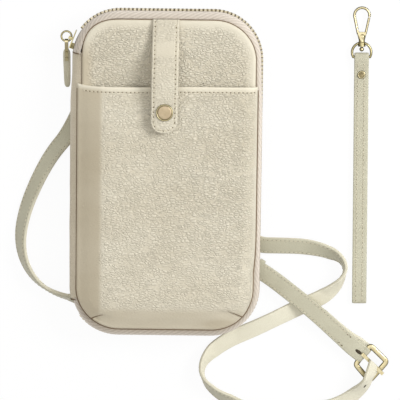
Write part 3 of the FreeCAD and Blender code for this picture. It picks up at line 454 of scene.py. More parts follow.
def copies(places, along, across, up, x, y, z):
    """One small shape set down at many places: place + along * x + across * y + up * z."""
    return (places[:, None] + along[:, None] * x[:, None] + across[:, None] * y[:, None]
            + up[:, None] * z[:, None])


def copied_faces(rows, columns, count, first=0):
    """Quads of many small grids in a row, each closed round, numbered from a first point."""
    start = first + np.arange(count) * rows * columns
    return (grid_faces(rows, columns) + start[:, None, None]).reshape(-1, 4)


def more_finishes(piece, kind, *finishes):
    """Further finishes on a piece, and for each face the number of its own."""
    for finish in finishes:
        piece.data.materials.append(finish)
    piece.data.polygons.foreach_set("material_index", kind.astype(np.int32))


def stitch_row(name, line, body, pitch, radius, slant, hole, face=None):
    """Slanting beads every pitch (mm) along a line in metres, on a level or given face, a hole after each."""
    run = run_along(line)
    want = np.arange(pitch / 2, run[-1] / MM, pitch) * MM
    near = 0.2 * pitch * MM
    places, after, before = (read_at(line, run, want + step) for step in (0, near, -near))
    up = np.broadcast_to(UP, places.shape)
    if face is not None:
        up = read_at(face, np.linspace(0, 1, len(face)), want / run[-1])
    straight_on = unit(after - before)
    lean = math.radians(slant)
    along = math.cos(lean) * straight_on + math.sin(lean) * unit(np.cross(up, straight_on))
    across = unit(np.cross(up, along))
    up = np.cross(along, across)
    station = np.array([-0.5, -0.42, -0.2, 0.2, 0.42, 0.5]) * BEAD_LENGTH * pitch * MM
    girth = np.array([0.25, 0.8, 1.0, 1.0, 0.8, 0.25])[:, None] * radius * MM
    dip = np.array([-0.30, -0.10, 0.08, 0.08, -0.10, -0.30])[:, None] * MM
    angle = circle(BEAD)
    beads = copies(places, along, across, up, np.repeat(station, BEAD),
                   (girth * np.cos(angle)).ravel(), (dip + girth * np.sin(angle)).ravel())
    top = (places + straight_on * pitch / 2 * MM + up * HOLE_PROUD)[:, None]
    low = top - HOLE_DEEP * up[:, None]
    rim = hole * MM * (np.cos(angle)[:, None] * along[:, None] + np.sin(angle)[:, None] * across[:, None])
    holes = np.concatenate([np.broadcast_to(low, rim.shape), low + rim, top + 0.9 * rim,
                            np.broadcast_to(top, rim.shape)], axis=1)
    points = np.concatenate([beads.reshape(-1, 3), holes.reshape(-1, 3)])
    bead_faces = copied_faces(BEAD, BEAD, len(places))
    hole_faces = copied_faces(DISC, BEAD, len(places), len(places) * BEAD * BEAD)
    faces = np.concatenate([outward(points - beads.mean(axis=(0, 1)), bead_faces),
                            outward(points - top.mean(axis=0), hole_faces)])
    piece = make_piece(name, points, thread, body, faces=faces)
    more_finishes(piece, np.arange(len(faces)) >= len(bead_faces), needle_shade)


print("a bead has", BEAD * BEAD, "points and a hole", DISC * BEAD)

# %% [markdown]
# The shoulder strap is flat leather, stitched along both edges, that stands half
# on edge where it turns. Its route is a smooth curve near its solid's, laid
# where the strap is seen, and near the buckle it climbs over the frame. How
# far it banks is given in degrees at shares of the way, 0 being flat.

# %% Strap routes
STRAP_WIDTH = 10.2
STRAP_THICK = 2.2
STRAP_STEP = 1.1
EDGE_STITCH = 1.25
STRAP_PITCH = 2.55
FLAT = STRAP_THICK / 2
HUMP = 6.8
EDGE_THREAD = (0.2, 10, 0.25)
SEWN = slice(6, -12)
BUCKLE = np.array([118.4, -108.6, 4.6])
BUCKLE_WAY = np.array([math.cos(math.radians(-44)), math.sin(math.radians(-44)), 0.0])
BUCKLE_SIDE = np.array([-BUCKLE_WAY[1], BUCKLE_WAY[0], 0.0])


def on_table(*places):
    """Route points of a strap that lies flat on the table."""
    return [(x, y, FLAT) for x, y in places]


SHORT_ROUTE = on_table(
    (-45.0, 47.6), (-55.5, 23.2), (-67.0, 9.5), (-75.5, -6.0), (-82.5, -23.0), (-86.0, -40.0), (-83.8, -55.0),
    (-75.8, -67.5), (-63.0, -75.0), (-47.0, -78.0), (-30.0, -76.5), (-13, -72.5), (9.5, -62), (28, -53.5),
) + [
    (44, -52.5, 1.8), (54, -57.6, 2.1), (64.5, -64.2, 3.4), (75, -71.8, HUMP), (89.5, -83.2, HUMP),
    (105.5, -98.0, 5.4), (112.6, -104.8, 5.0), tuple(BUCKLE - 2.0 * BUCKLE_WAY + [0.4, -0.9, 0.5]),
]
LONG_ROUTE = on_table(
    (36.8, 49.0), (35, 30), (32, 10), (33, -12.5), (40, -34), (54, -44), (68, -44), (82, -44.2), (94.5, -46.4),
    (104.5, -51.0), (107.4, -58.0), (103.2, -66.5), (94.5, -74.3), (82, -80), (68, -87), (53, -94.5),
    (38, -101), (27, -109), (22.0, -118), (24.6, -127), (35, -136), (55.5, -143), (78, -145), (97, -142.5),
) + [
    (108.5, -137.4, 1.3), (115.5, -131, 2.2), (120.0, -125, 6.2), (122.6, -118.8, 7.2), (125.0, -113.8, 4.4),
]
TAIL_ROUTE = on_table((121.4, -109.0), (116.2, -104.2), (110.2, -101.2), (100.6, -93.6), (92.4, -86.4))
SHORT_BANKS = [(0, 0), (0.06, 24), (0.13, 36), (0.20, 44), (0.27, 52), (0.335, 66), (0.385, 78), (0.425, 70),
               (0.455, 34), (0.485, 6), (0.52, 0), (0.74, 0), (0.79, 4), (0.86, 4), (0.95, 2), (1, 0)]
LONG_BANKS = [(0, 0), (0.21, 0), (0.26, 18), (0.33, 24), (0.37, 46), (0.397, 82), (0.415, 104), (0.43, 126),
              (0.455, 154), (0.49, 164), (0.54, 158), (0.60, 168), (0.64, 152), (0.665, 116), (0.685, 90),
              (0.705, 66), (0.74, 46), (0.78, 62), (0.82, 110), (0.86, 172), (0.90, 200), (0.93, 208),
              (0.955, 222), (0.975, 240), (1, 224)]
TAIL_BANKS = [(0, 180), (1, 180)]


def smooth_route(name, route):
    """Points read from a smooth spline whose control points are the route's, in metres."""
    curve = bpy.data.curves.new(name, "CURVE")
    curve.dimensions = "3D"
    curve.resolution_u = 24
    spline = curve.splines.new("NURBS")
    spline.points.add(len(route) - 1)
    spline.points.foreach_set("co", np.column_stack([np.array(route) * MM, np.ones(len(route))]).ravel())
    spline.order_u = 3
    spline.use_endpoint_u = True
    holder = new_object(name, curve)
    mesh = bpy.data.meshes.new_from_object(holder)
    points = np.empty(len(mesh.vertices) * 3)
    mesh.vertices.foreach_get("co", points)
    bpy.data.objects.remove(holder)
    bpy.data.curves.remove(curve)
    bpy.data.meshes.remove(mesh)
    return points.reshape(-1, 3)


print("routes of", len(SHORT_ROUTE), len(LONG_ROUTE), len(TAIL_ROUTE), "points")

# %% [markdown]
# A strap profile is carried along each route, and at each point it banks about its
# own direction, as a flat strap does when it turns. The upper face, the paler back
# and the cut edge have finishes of their own, and two rows of stitches follow.

# %% Flat straps
def ahead_on(line, closed=False):
    """Unit direction of a line at each point, from the points before and after it."""
    return unit(np.roll(line, -1, axis=0) - np.roll(line, 1, axis=0) if closed else np.gradient(line, axis=0))


def swept(path, across, up, profile):
    """Profile (k, 2) carried along a path (n, 3): each ring is path + a * across + b * up."""
    return path[:, None] + profile[:, :1] * across[:, None] + profile[:, 1:] * up[:, None]


def capped(rings):
    """Rings with one extra point ring at each end, shrunk to the ring's middle, so the ends are closed."""
    first, last = (np.broadcast_to(ring.mean(axis=1, keepdims=True), ring.shape) for ring in (rings[:1], rings[-1:]))
    return np.concatenate([first, rings, last])


def strap_section():
    """Strap profile: flat faces, rounded edges and a shallow groove along each stitch line."""
    half = STRAP_WIDTH / 2 - np.array([0, 0.2, 0.7, EDGE_STITCH, 1.8, STRAP_WIDTH / 4])
    rise = np.array([0.45, 0.85, 0.98, 0.88, 1.0, 1.05])
    across = np.concatenate([-half, [0], half[::-1]])
    top = STRAP_THICK / 2 * np.concatenate([rise, [1.07], rise[::-1]])
    upper = np.stack([across, top], axis=1)[::-1]
    lower = np.stack([across, -np.minimum(top, STRAP_THICK / 2)], axis=1)
    return np.concatenate([upper, lower]) * MM


def strap(name, route, banks, node, stitched=True):
    """Flat strap along a route: side = cos(bank) * level + sin(bank) * up, raised to rest on its lower edge."""
    drawn = smooth_route(name + "_route", route)
    run = run_along(drawn)
    path = read_at(drawn, run, np.linspace(0, run[-1], max(int(run[-1] / (STRAP_STEP * MM)), 8)))
    bank = np.radians(np.interp(np.linspace(0, 1, len(path)), *np.array(banks, float).T))[:, None]
    ahead = ahead_on(path)
    level = unit(np.cross(UP, ahead))
    side = np.cos(bank) * level + np.sin(bank) * np.cross(ahead, level)
    face = np.cross(ahead, side)
    path = path + (np.abs(np.sin(bank)) * STRAP_WIDTH + (np.abs(np.cos(bank)) - 1) * STRAP_THICK) / 2 * MM * UP
    section = strap_section()
    run = run_along(path)
    around = np.linspace(0, 1, len(section), endpoint=False)
    uv = np.stack(np.broadcast_arrays(np.concatenate([run[:1], run, run[-1:]])[:, None], around), axis=-1)
    piece = make_piece(name, capped(swept(path, side, face, section)), strap_leather, "back", [node],
                       uv)
    column = np.arange(len(piece.data.polygons)) % len(section)
    half = len(section) // 2
    kind = np.where(column < half - 1, 0, np.where(np.isin(column, [half - 1, len(section) - 1]), 2, 1))
    more_finishes(piece, kind, strap_back, strap_edge)
    edge = (STRAP_WIDTH / 2 - EDGE_STITCH) * MM
    proud = (0.44 * STRAP_THICK + 0.06) * MM
    for label, reach_out in (("left", edge), ("right", -edge)) if stitched else ():
        line = path + reach_out * side + proud * face
        stitch_row(name + "_stitch_" + label, line[SEWN], "back", STRAP_PITCH, *EDGE_THREAD, face)
    print(name, "is", round(float(run[-1]), 3), "m long")
    return piece, float(run[-1]), (path, side, face)


short_strap, short_length, short_lines = strap("strap_short", SHORT_ROUTE, SHORT_BANKS, "strap_buckle")
long_strap, long_length, long_lines = strap("strap_long", LONG_ROUTE, LONG_BANKS, "strap_holes")
tail_strap = strap("strap_tail_end", TAIL_ROUTE, TAIL_BANKS, "strap_tail", stitched=False)[0]
short_path, long_path = short_lines[0], long_lines[0]

# %% [markdown]
# Small marks finish the straps: punched holes for the prong along the long one,
# two short rows of tacking beside the buckle, and the slot that lets the prong
# through the short one. A hole is an oval plug of painted shade that is flush with both faces.

# %% Holes, tacks and slot
HOLES_FROM_END = np.array([15, 33, 51, 69, 87])
TACKS_FROM_END = np.array([12.6, 14.9])
TACK_SIDE = 3.6
PLUG = 12


def plugs(name, lines, at, size, finish, sideways=0.0, raised=0.0):
    """Oval plugs at numbered points of a strap: two flat rings of half-sizes (mm), closed to their middles."""
    path, side, face = (line[at] for line in lines)
    reach = np.array([0.0, 1.0, 1.0, 0.0])[:, None]
    level = np.array([-1.0, -1.0, 1.0, 1.0])
    x = (reach * np.cos(circle(PLUG)) * size[0] * MM).ravel()
    y = (reach * np.sin(circle(PLUG)) * size[1] * MM).ravel()
    z = np.repeat(level * size[2] * MM, PLUG)
    points = copies(path + sideways * side + raised * face, np.cross(side, face), side, face, x, y, z)
    make_piece(name, points, finish, "back", faces=copied_faces(len(level), PLUG, len(path)))


def from_end(path, distance):
    """Numbers of the points at distances (mm) before a strap's end."""
    return len(path) - 1 - (distance / STRAP_STEP).astype(int)


tack_sides = np.repeat([TACK_SIDE, -TACK_SIDE], len(TACKS_FROM_END))[:, None] * MM
plugs("punched_holes", long_lines, from_end(long_path, HOLES_FROM_END), (1.35, 0.65, 1.2), slot_shade)
plugs("buckle_tacks", short_lines, np.tile(from_end(short_path, TACKS_FROM_END), 2), (0.55, 0.4, 1.16),
      needle_shade, sideways=tack_sides)
plugs("prong_slot", short_lines, [len(short_path) - 3], (2.3, 1.05, 0.62), slot_shade, raised=0.6 * MM)

# %% [markdown]
# Where leather goes round a bar it is one strip: up one side, round the bar and
# back down the other. The strip's line is drawn in the plane across the bar, and
# a flat profile with rounded edges is carried along it. The same helper makes the
# strap ends, the tabs that hold the rings, the keeper and the wrist strap.

# %% Leather round a bar
FOLD_LAYER = 0.9
RING_WIRE = 0.9
RING_LEVEL = 2.1
RING_LENGTH = 8.0
FRAME_WIRE = 1.1
KEEPER_WAY = np.array([20.5, -12.8, 1.6])


def oval(width, height, count=24, power=0.35):
    """Closed profile between a rectangle (power near 0) and an oval (power 1), counter-clockwise, in metres."""
    angle = circle(count) + np.pi / count
    round_one = np.stack([np.cos(angle), np.sin(angle)], axis=1)
    return np.sign(round_one) * np.abs(round_one) ** power * [width / 2 * MM, height / 2 * MM]


def leather_band(name, path, across, width, thick, node, body="back", closed=False):
    """Flat strip of leather along a line (mm), lying across one fixed direction, with a rounded section."""
    path = path * MM
    side = np.broadcast_to(unit(np.array(across, float)), path.shape)
    rings = swept(path, side, unit(np.cross(ahead_on(path, closed), side)), oval(width, thick))
    return make_piece(name, rings if closed else capped(rings), strap_leather, body, [node],
                      wrap=(closed, True))


def round_bar(bar, way, flat_level, wire, length):
    """Line of a strip that comes from a distance, goes round a bar and goes back under itself (mm)."""
    radius = wire + 0.2 + FOLD_LAYER / 2
    turn = np.linspace(math.radians(100), math.radians(260), 28)
    out = np.concatenate([np.linspace(length, 3.2, 14), radius * np.cos(turn), np.linspace(3.2, length, 14)])
    level = np.concatenate([np.full(14, flat_level + FOLD_LAYER / 2), bar[2] + radius * np.sin(turn),
                            np.full(14, flat_level - FOLD_LAYER / 2)])
    soft = np.array([1, 2, 3, 2, 1]) / 9
    for line in (out, level):
        line[2:-2] = np.convolve(line, soft, mode="valid")
    return bar * [1, 1, 0] + out[:, None] * way + level[:, None] * UP


def keeper_ring():
    """Ring round the strap: a rectangle with rounded corners in the plane across it."""
    low, high = (np.array(corner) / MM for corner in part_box("strap_keeper"))
    way = unit(KEEPER_WAY)
    side = unit(np.cross(UP, way))
    loop = oval(2 * 5.55, 2 * 1.5, 64, 0.3) / MM
    path = (low + high) / 2 + 1.6 * way + loop[:, :1] * side + loop[:, 1:] * np.cross(way, side)
    leather_band("keeper_loop", path, way, 3.4, 0.6, "strap_keeper", closed=True)


for name, x, y, heading in (("left", -36, 62, 238), ("right", 38, 66, 266)):
    way = np.array([math.cos(math.radians(heading)), math.sin(math.radians(heading)), 0.0])
    side = np.array([-way[1], way[0], 0.0])
    near = np.array([x, y, RING_LEVEL])
    leather_band("ring_tab_" + name, round_bar(near, -way, RING_LEVEL + 0.7, RING_WIRE, 7.6), side,
                 STRAP_WIDTH, FOLD_LAYER, "anchor_tab_" + name)
    leather_band("strap_end_" + name, round_bar(near + RING_LENGTH * way, way, RING_LEVEL - 0.75, RING_WIRE, 8.6),
                 side, STRAP_WIDTH, FOLD_LAYER, "strap_fold_" + name)
leather_band("strap_end_buckle", round_bar(BUCKLE, -BUCKLE_WAY, BUCKLE[2], FRAME_WIRE, 8.2), BUCKLE_SIDE,
             STRAP_WIDTH - 0.6, FOLD_LAYER, "buckle_fold")
keeper_ring()

# %% [markdown]
# The buckle's frame is a ring of broad, flat bars with rounded corners. A rounded
# square of two shares is laid over the frame's four corners, each point weighing
# the corners by its shares, and an oval profile is carried round that line.

# %% Buckle frame
FRAME_CORNERS = np.array([(122.6, -103.2), (114.0, -114.8), (122.6, -124.6), (132.6, -112.8)])


def placed(x, y, z):
    """Points in metres from three coordinates in millimetres, which may be grids, lines or numbers."""
    return np.stack(np.broadcast_arrays(x, y, z), axis=-1) * MM


def frame_bars():
    """Closed ring: its line weighs four corners by two shares that run round a rounded square."""
    shares = (oval(2.0, 2.0, 120, 0.2) / MM + 1) / 2
    u, v = shares[:, :1], shares[:, 1:]
    a, b, c, d = FRAME_CORNERS
    flat = (1 - u) * ((1 - v) * a + v * b) + u * ((1 - v) * d + v * c)
    path = placed(*flat.T, BUCKLE[2])
    up = np.broadcast_to(UP, path.shape)
    rings = swept(path, np.cross(ahead_on(path, closed=True), up), up, oval(3.2, 1.9, 20, 0.75))
    make_piece("buckle_bars", rings, pale_gold, "back", ["buckle_frame"], wrap=(True, True))


frame_bars()

# %% [markdown]
# The wrist strap is one long strip folded in two: from the clasp's bar down to the
# end, round a tight fold and back up underneath, sewn through both layers. Its
# line is closed: arc round the bar, slope, straight run, fold, straight run.

# %% Wrist strap
WRIST_BASE = np.array([113.9, 68.3, 0.0])
WRIST_TURN = math.radians(0.65)
WRIST_X = np.array([math.cos(WRIST_TURN), math.sin(WRIST_TURN), 0.0])
WRIST_Y = np.array([-math.sin(WRIST_TURN), math.cos(WRIST_TURN), 0.0])
WRIST_WIDTH = 8.4
WRIST_LAYER = 1.7
WRIST_LONG = 146.7
WRIST_SLOPE = 9
BAR_LEVEL = 2.65
KNUCKLE = 1.8
WRIST_PITCH = 2.9


def eased(share):
    """Smooth step from 0 to 1."""
    share = np.clip(share, 0, 1)
    return share * share * (3 - 2 * share)


def wrist_place(x, y, z):
    """Place on the wrist strap: across it, along it from the bar, and above the table (mm)."""
    x, y, z = np.broadcast_arrays(x, y, z)
    return WRIST_BASE + x[..., None] * WRIST_X + y[..., None] * WRIST_Y + z[..., None] * UP


def wrist_line():
    """Closed line of the folded strip in its own plane, as distance along and height."""
    upper, lower = 1.5 * WRIST_LAYER, 0.5 * WRIST_LAYER
    knuckle = np.linspace(-np.pi / 2, np.pi / 2, 26)
    slope = np.linspace(0, 1, 16)[1:]
    fold = np.linspace(np.pi / 2, 1.5 * np.pi, 14)
    top = BAR_LEVEL + KNUCKLE
    end = -WRIST_LONG + WRIST_LAYER
    along = np.concatenate([KNUCKLE * np.cos(knuckle), -WRIST_SLOPE * slope,
                            np.linspace(-WRIST_SLOPE, end, 120)[1:-1],
                            end + lower * np.cos(fold), np.linspace(end, 0, 120)[1:-1]])
    height = np.concatenate([BAR_LEVEL + KNUCKLE * np.sin(knuckle), top + (upper - top) * eased(slope),
                             np.full(118, upper), WRIST_LAYER + lower * np.sin(fold), np.full(118, lower)])
    return wrist_place(0.0, along, height)


wrist_strap = leather_band("wrist_band", wrist_line(), WRIST_X, WRIST_WIDTH, WRIST_LAYER - 0.06, "wrist_strap",
                           "wrist", closed=True)
wrist_path = smooth_route("wrist_route", wrist_place(0.0, [KNUCKLE, -40.0, -100.0, -WRIST_LONG], WRIST_LAYER))
down = np.linspace(-3, -144.5, 200)
for label, x in (("left", -2.3), ("right", 1.5)):
    row = wrist_place(x, down, 5.3 - 1.88 * eased(-down / WRIST_SLOPE)) * MM
    stitch_row("wrist_stitch_" + label, row, "wrist", WRIST_PITCH, *EDGE_THREAD)
print("wrist strap is", round(float(np.linalg.norm(wrist_path[-1] - wrist_path[0])), 3), "m long")

# %% [markdown]
# The pouch is a soft box with a rounded outline. Its panels, bands and pocket
# are all built from that outline moved inwards: the distance from the edge gives
# the height, so each form swells from its seam like a pillow.

# %% The pouch's outline
HALF_WIDTH = 56.0
HALF_HEIGHT = 96.0
CORNER = 29.0
STRAIGHT = HALF_HEIGHT - CORNER
BACK_SEAM = 5.8
ZIP_LINE = 14.8
FRONT_SEAM = 23.8


def outline(inset, count):
    """Rounded rectangle, counter-clockwise from the middle of the right side, with even steps (mm)."""
    bend = max(CORNER - inset, 0.5)
    flat = np.array([HALF_WIDTH, HALF_HEIGHT]) - inset - bend
    turns = []
    for number, signs in enumerate([(1, 1), (-1, 1), (-1, -1), (1, -1)]):
        angle = np.linspace(0, np.pi / 2, 60) + number * np.pi / 2
        turns.append(flat * signs + bend * np.stack([np.cos(angle), np.sin(angle)], axis=1))
    start = [[flat[0] + bend, 0.0]]
    line = np.concatenate([start, *turns, start])
    run = run_along(line)
    return read_at(line, run, np.linspace(0, run[-1], count, endpoint=False))


def edge_distance(x, y, inset):
    """Distance of a point from the outline moved inwards, positive inside (mm)."""
    over_x = np.abs(x) - (HALF_WIDTH - CORNER)
    over_y = np.abs(y) - STRAIGHT
    outside = np.hypot(np.maximum(over_x, 0), np.maximum(over_y, 0))
    return CORNER - inset - outside - np.minimum(np.maximum(over_x, over_y), 0)


def soft_noise(x, y, scale, seed):
    """Slow smooth waves: a sum of sines with fixed seeded directions, between about -1 and 1."""
    random = np.random.default_rng(seed)
    spans = ((0, 2 * np.pi), (0.6, 1.6), (0, 2 * np.pi))
    angle, pace, phase = (random.uniform(low, high, 7) for low, high in spans)
    pace = pace * 2 * np.pi / scale
    wave = np.sin((x[..., None] * np.cos(angle) + y[..., None] * np.sin(angle)) * pace + phase)
    return wave.mean(axis=-1)


def pillow(distance, width):
    """Quarter-round rise from 0 at the edge to 1 at the given width."""
    near = np.clip(1 - distance / width, 0, 1)
    return np.sqrt(np.clip(1 - near ** 2, 0, 1))


def bell(offset, width):
    """Bell curve: 1 in the middle, falling off over a width."""
    return np.exp(-(offset / width) ** 2)


print("outline is", 2 * HALF_WIDTH, "by", 2 * HALF_HEIGHT, "mm")

# %% [markdown]
# Each panel is leather with a turned edge. Rings of the outline, closer together
# near the seam, give a grid whose height is a quick rise at the turned edge and
# then a slow swell towards the middle. The front one sits a little to the right,
# because the spine's leather takes up room on the left. The linings are the same
# form in cloth, nearly flat.

# %% Front and back panels, linings
LEFT_PULL = 48.8 / 50.8
RIGHT_PUSH = 51.8 / 50.8
TOP_DROP = 0.7
CORNER_FILL = 0.085
PANEL_INSET = 5.2
PANEL_EDGE = 2.2
PANEL_SWELL = 40
LINING_INSET = 6.8


def seated(x, y):
    """The front panel's fit: left half drawn in, right half let out, top lowered, upper left corner filled."""
    from_x, from_y = np.minimum(x + HALF_WIDTH - CORNER, 0), np.maximum(y - STRAIGHT, 0)
    reach = np.maximum(from_x ** 2 + from_y ** 2, 1e-6)
    fill = CORNER_FILL * (2 * from_x * from_y / reach) ** 2
    x, y = x + fill * from_x, y + fill * from_y
    return np.where(x < 0, x * LEFT_PULL, x * RIGHT_PUSH), y - TOP_DROP * eased((y - 55) / 35)


def panel(name, seam, rise, swell, facing, inset, finish, body, node, fit=None):
    """Closed panel: an outer face over rings of the outline, down to its middle line, and a flat inner face."""
    depth = np.concatenate([[0, 0.15, 0.4, 0.8, 1.3, 2.0, 3.0, 4.5], np.linspace(6.5, 48, 34)])
    rings = np.stack([outline(inset + step, 360) for step in depth])
    rings = np.concatenate([rings, rings[-1:] * [0, 1]])
    depth = np.append(depth, HALF_WIDTH - inset)[:, None]
    x, y = rings[..., 0], rings[..., 1]
    bulge = rise * pillow(depth, PANEL_EDGE) + swell * pillow(depth, PANEL_SWELL) * (1 + soft_noise(x, y, 46, 3))
    marks = {"grain": eased((depth - 1.2) / 6), "rubbed": 0.3 * bell(depth - 0.9, 0.6)}
    if fit:
        x, y = fit(x, y)
        # Painted shade along the front panel's left margin, fading out near the top.
        marks["painted_shade"] = eased((-40.5 - x) / 6) * eased((82 - y) / 18)
    for mark, values in marks.items():
        values = np.broadcast_to(values, x.shape)
        marks[mark] = np.concatenate([values[::-1], values])
    points = np.concatenate([placed(x, y, seam)[::-1], placed(x, y, seam + facing * bulge)])
    make_piece(name, points, finish, body, [node], marks=marks)


panel("front_face", FRONT_SEAM, 1.4, 0.45, 1, PANEL_INSET, pouch_leather, "cover", "front_panel",
      seated)
panel("back_face", BACK_SEAM, 1.2, 0.45, -1, PANEL_INSET, pouch_leather, "back", "back_panel")
for name, body, facing in (("front_lining", "cover", -1), ("back_lining", "back", 1)):
    low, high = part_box(name)
    seam = (high if facing < 0 else low)[2] / MM
    panel(name + "_cloth", seam, 0.55, 0.12, facing, LINING_INSET, lining_weave, body, name)

# %% [markdown]
# The zip tapes are bands of twill. A band is a short curved profile, from the
# seam out to the teeth, carried round the outline. The left side has none: there
# the leather spine holds the two panels together. The tape stands back from the
# teeth along the top, and covers them towards the lower right. Beside the spine
# the front tape has two short ends that stay on the back.

# %% Zip tapes
RIM = outline(0, 720)
SPLIT = -50.6
LAP = 1.6
TUCK = 0.2
TAPE_THICK = 0.8
TAPE_CREST = 1.15
TAPE_SEAM = 5.05
TAPE_REACH = 6.3
END_REACH = 2.5
TAPE_WIDE = 9 * MM
RIM_STEP = 0.75 * MM
SPINE_TOP = STRAIGHT + 3.2
SPINE_LOW = -STRAIGHT - 7.3


def band(name, seam, facing, use, body, node, deeper=0.0):
    """Band on a part of the outline: inset falls from the seam's to the crest's along a quarter round."""
    ahead = ahead_on(RIM, closed=True)
    order = (int(np.argmax(use & ~np.roll(use, 1))) + np.arange(int(use.sum()))) % len(RIM)
    (x, y), (ahead_x, ahead_y) = RIM[order].T, ahead[order].T
    turn = np.linspace(0, 1, 15)[:, None]
    covered = eased((x - 20) / 30) * eased((72 - y) / 40)
    crest = TAPE_CREST - 0.95 * np.maximum(covered, eased((-68 - y) / 24)) + deeper
    inset = crest + (TAPE_SEAM + deeper - crest) * (1 - np.sin(turn * np.pi / 2))
    reach = TAPE_REACH + END_REACH * eased((-44 - x) / 6)
    height = seam + facing * (reach * (1 - np.cos(turn * np.pi / 2)) - deeper)
    outer, inner = (placed(x - depth * ahead_y, y + depth * ahead_x, height) for depth in (inset, inset + TAPE_THICK))
    run = np.linspace(0, len(order) * RIM_STEP, len(order))
    wide = np.concatenate([turn, turn[::-1] + 2]) * TAPE_WIDE
    uv = np.stack(np.broadcast_arrays(run, wide), axis=-1)
    make_piece(name, np.concatenate([outer, inner[::-1]]), tape_twill, body, [node], uv,
               wrap=(True, False))


rim_x, rim_y = RIM.T
off_spine = ~((rim_x < 0) & (rim_y > SPINE_LOW) & (rim_y < SPINE_TOP))
beside_split = off_spine & (rim_x < SPLIT + LAP)
band("tape_back", BACK_SEAM, 1, off_spine, "back", "back_tape")
band("tape_front", FRONT_SEAM, -1, off_spine & (rim_x > SPLIT), "cover", "front_tape")
band("tape_end_upper", FRONT_SEAM, -1, beside_split & (rim_y > 0), "back", "tape_ends", TUCK)
band("tape_end_lower", FRONT_SEAM, -1, beside_split & (rim_y < 0), "back", "tape_ends", TUCK)

# %% [markdown]
# The spine is one strip of leather, bowed outwards between its two seams, whose
# upper edge is tucked under the front panel. Its profile is an arc with some
# thickness, carried down the left side, and drawn in a little at the top. Where
# it meets the tape there is a seam across it.

# %% Spine
SPINE_X = -51.4
SPINE_BOW = 4.5
SPINE_TUCK = 3.0
SPINE_SEAM = 0.36
FOLD_LINE = 0.14


def tube(name, path, radius, finish, body, closed=False):
    """Thin round line along a path in metres; the radius (mm) is one value or one for each point."""
    ahead = ahead_on(path, closed)
    across = unit(np.cross(UP, ahead))
    girth = np.broadcast_to(radius, len(path))[:, None, None] * MM
    angle = circle(8)[:, None]
    rings = path[:, None] + girth * (np.cos(angle) * across[:, None]
                                     + np.sin(angle) * np.cross(ahead, across)[:, None])
    make_piece(name, rings if closed else capped(rings), finish, body, wrap=(closed, True))


def spine_profile():
    """Outer line of the spine as x and z: out from the back seam, up, and over to the front panel."""
    turn = np.linspace(-np.pi / 2, np.pi / 2, 33)
    x = SPINE_X - SPINE_BOW * np.abs(np.cos(turn)) ** 0.75 + SPINE_TUCK * eased((turn - 0.35) / 1.2)
    z = (BACK_SEAM + FRONT_SEAM - 0.2) / 2 + (FRONT_SEAM - 0.2 - BACK_SEAM) / 2 * np.sin(turn)
    return x, z


def spine_shift(y):
    """Sideways move along the spine: slow waves, drawn in towards the top, and round the pouch's corners."""
    past = np.maximum(np.abs(y) - STRAIGHT, 0)
    return 0.2 * soft_noise(y, y * 0, 34, 5) + eased((y - 40) / 20) + CORNER - np.sqrt(CORNER ** 2 - past ** 2)


def spine_strip():
    """Bowed strip: the outer line, and the same line moved inwards, carried along y."""
    x, z = spine_profile()
    y = np.linspace(SPINE_LOW - 0.6, SPINE_TOP + 0.6, 130)[:, None]
    loop_x = np.concatenate([x, x[::-1] + 1.2])
    loop_z = np.concatenate([z, z[::-1] - 0.5 * np.sign(z[::-1] - ZIP_LINE)])
    rings = placed(loop_x + spine_shift(y), y, loop_z)
    make_piece("spine_strip", capped(rings), spine_leather, "back", ["spine"])


def tape_end_line(y):
    """Line over the tape's upper end: the band's quarter round from seam to crest, a little proud."""
    turn = np.linspace(0, np.pi / 2, 20)
    lean = math.asin((y - STRAIGHT) / CORNER)
    inset = TAPE_CREST + TUCK + (TAPE_SEAM - TAPE_CREST) * (1 - np.sin(turn))
    x = CORNER - HALF_WIDTH - (CORNER - inset) * math.cos(lean)
    z = FRONT_SEAM + 0.35 - (TAPE_REACH + END_REACH) * (1 - np.cos(turn))
    return placed(x, y - inset * math.sin(lean), z)


spine_strip()
edge_x, edge_z = spine_profile()
upper_half = edge_z > ZIP_LINE - 2
across_y = SPINE_LOW - 0.5 - np.linspace(0.48, -0.48, int(upper_half.sum()))
low_seam = placed(edge_x[upper_half] + spine_shift(across_y) - 0.25, across_y, edge_z[upper_half] + 0.25)
front_edge = np.linspace(SPINE_TOP, SPINE_LOW, 160)
fold_line = placed(edge_x[-1] + spine_shift(front_edge) - 0.1, front_edge, edge_z[-1] + 0.05)
# The spine's seam lines are its raw edges' dark colour with painted shade; the fold line is painted shade.
tube("spine_seam_lower", low_seam, SPINE_SEAM, seam_shade, "back")
tube("spine_seam_upper", tape_end_line(SPINE_TOP + 0.3), SPINE_SEAM, seam_shade, "back")
tube("spine_fold_line", fold_line, FOLD_LINE, seam_shade, "back")

# %% [markdown]
# The pocket is a puffed leather shell, open at its mouth. Rows run across it from
# the mouth to the bottom seam. The distance from the seam gives the height, a
# sewn dart pulls the leather in at each lower corner, and slow waves show how
# the leather has settled.

# %% Front pocket
POCKET_INSET = 3.85
POCKET_SHIFT = 0.75
POCKET_LIFT = 1.1
POCKET_EDGE = 1.2
SLOPE_WIDTH = 15.0
SLOPE_BEND = 9
MOUTH = 50.9
POCKET_TOP = 33.0
DARTS = np.array([((-42.6, -85.2), (-35.6, -82.2)), ((46.2, -83.2), (37.4, -79.0))])


def mouth_y(x):
    """Line of the mouth: nearly level, drawn up at the left seam."""
    return MOUTH + 0.6 * eased((x + 20) / 40) + 1.7 * np.exp(-np.clip(x + 51.5, 0, None) / 4.5)


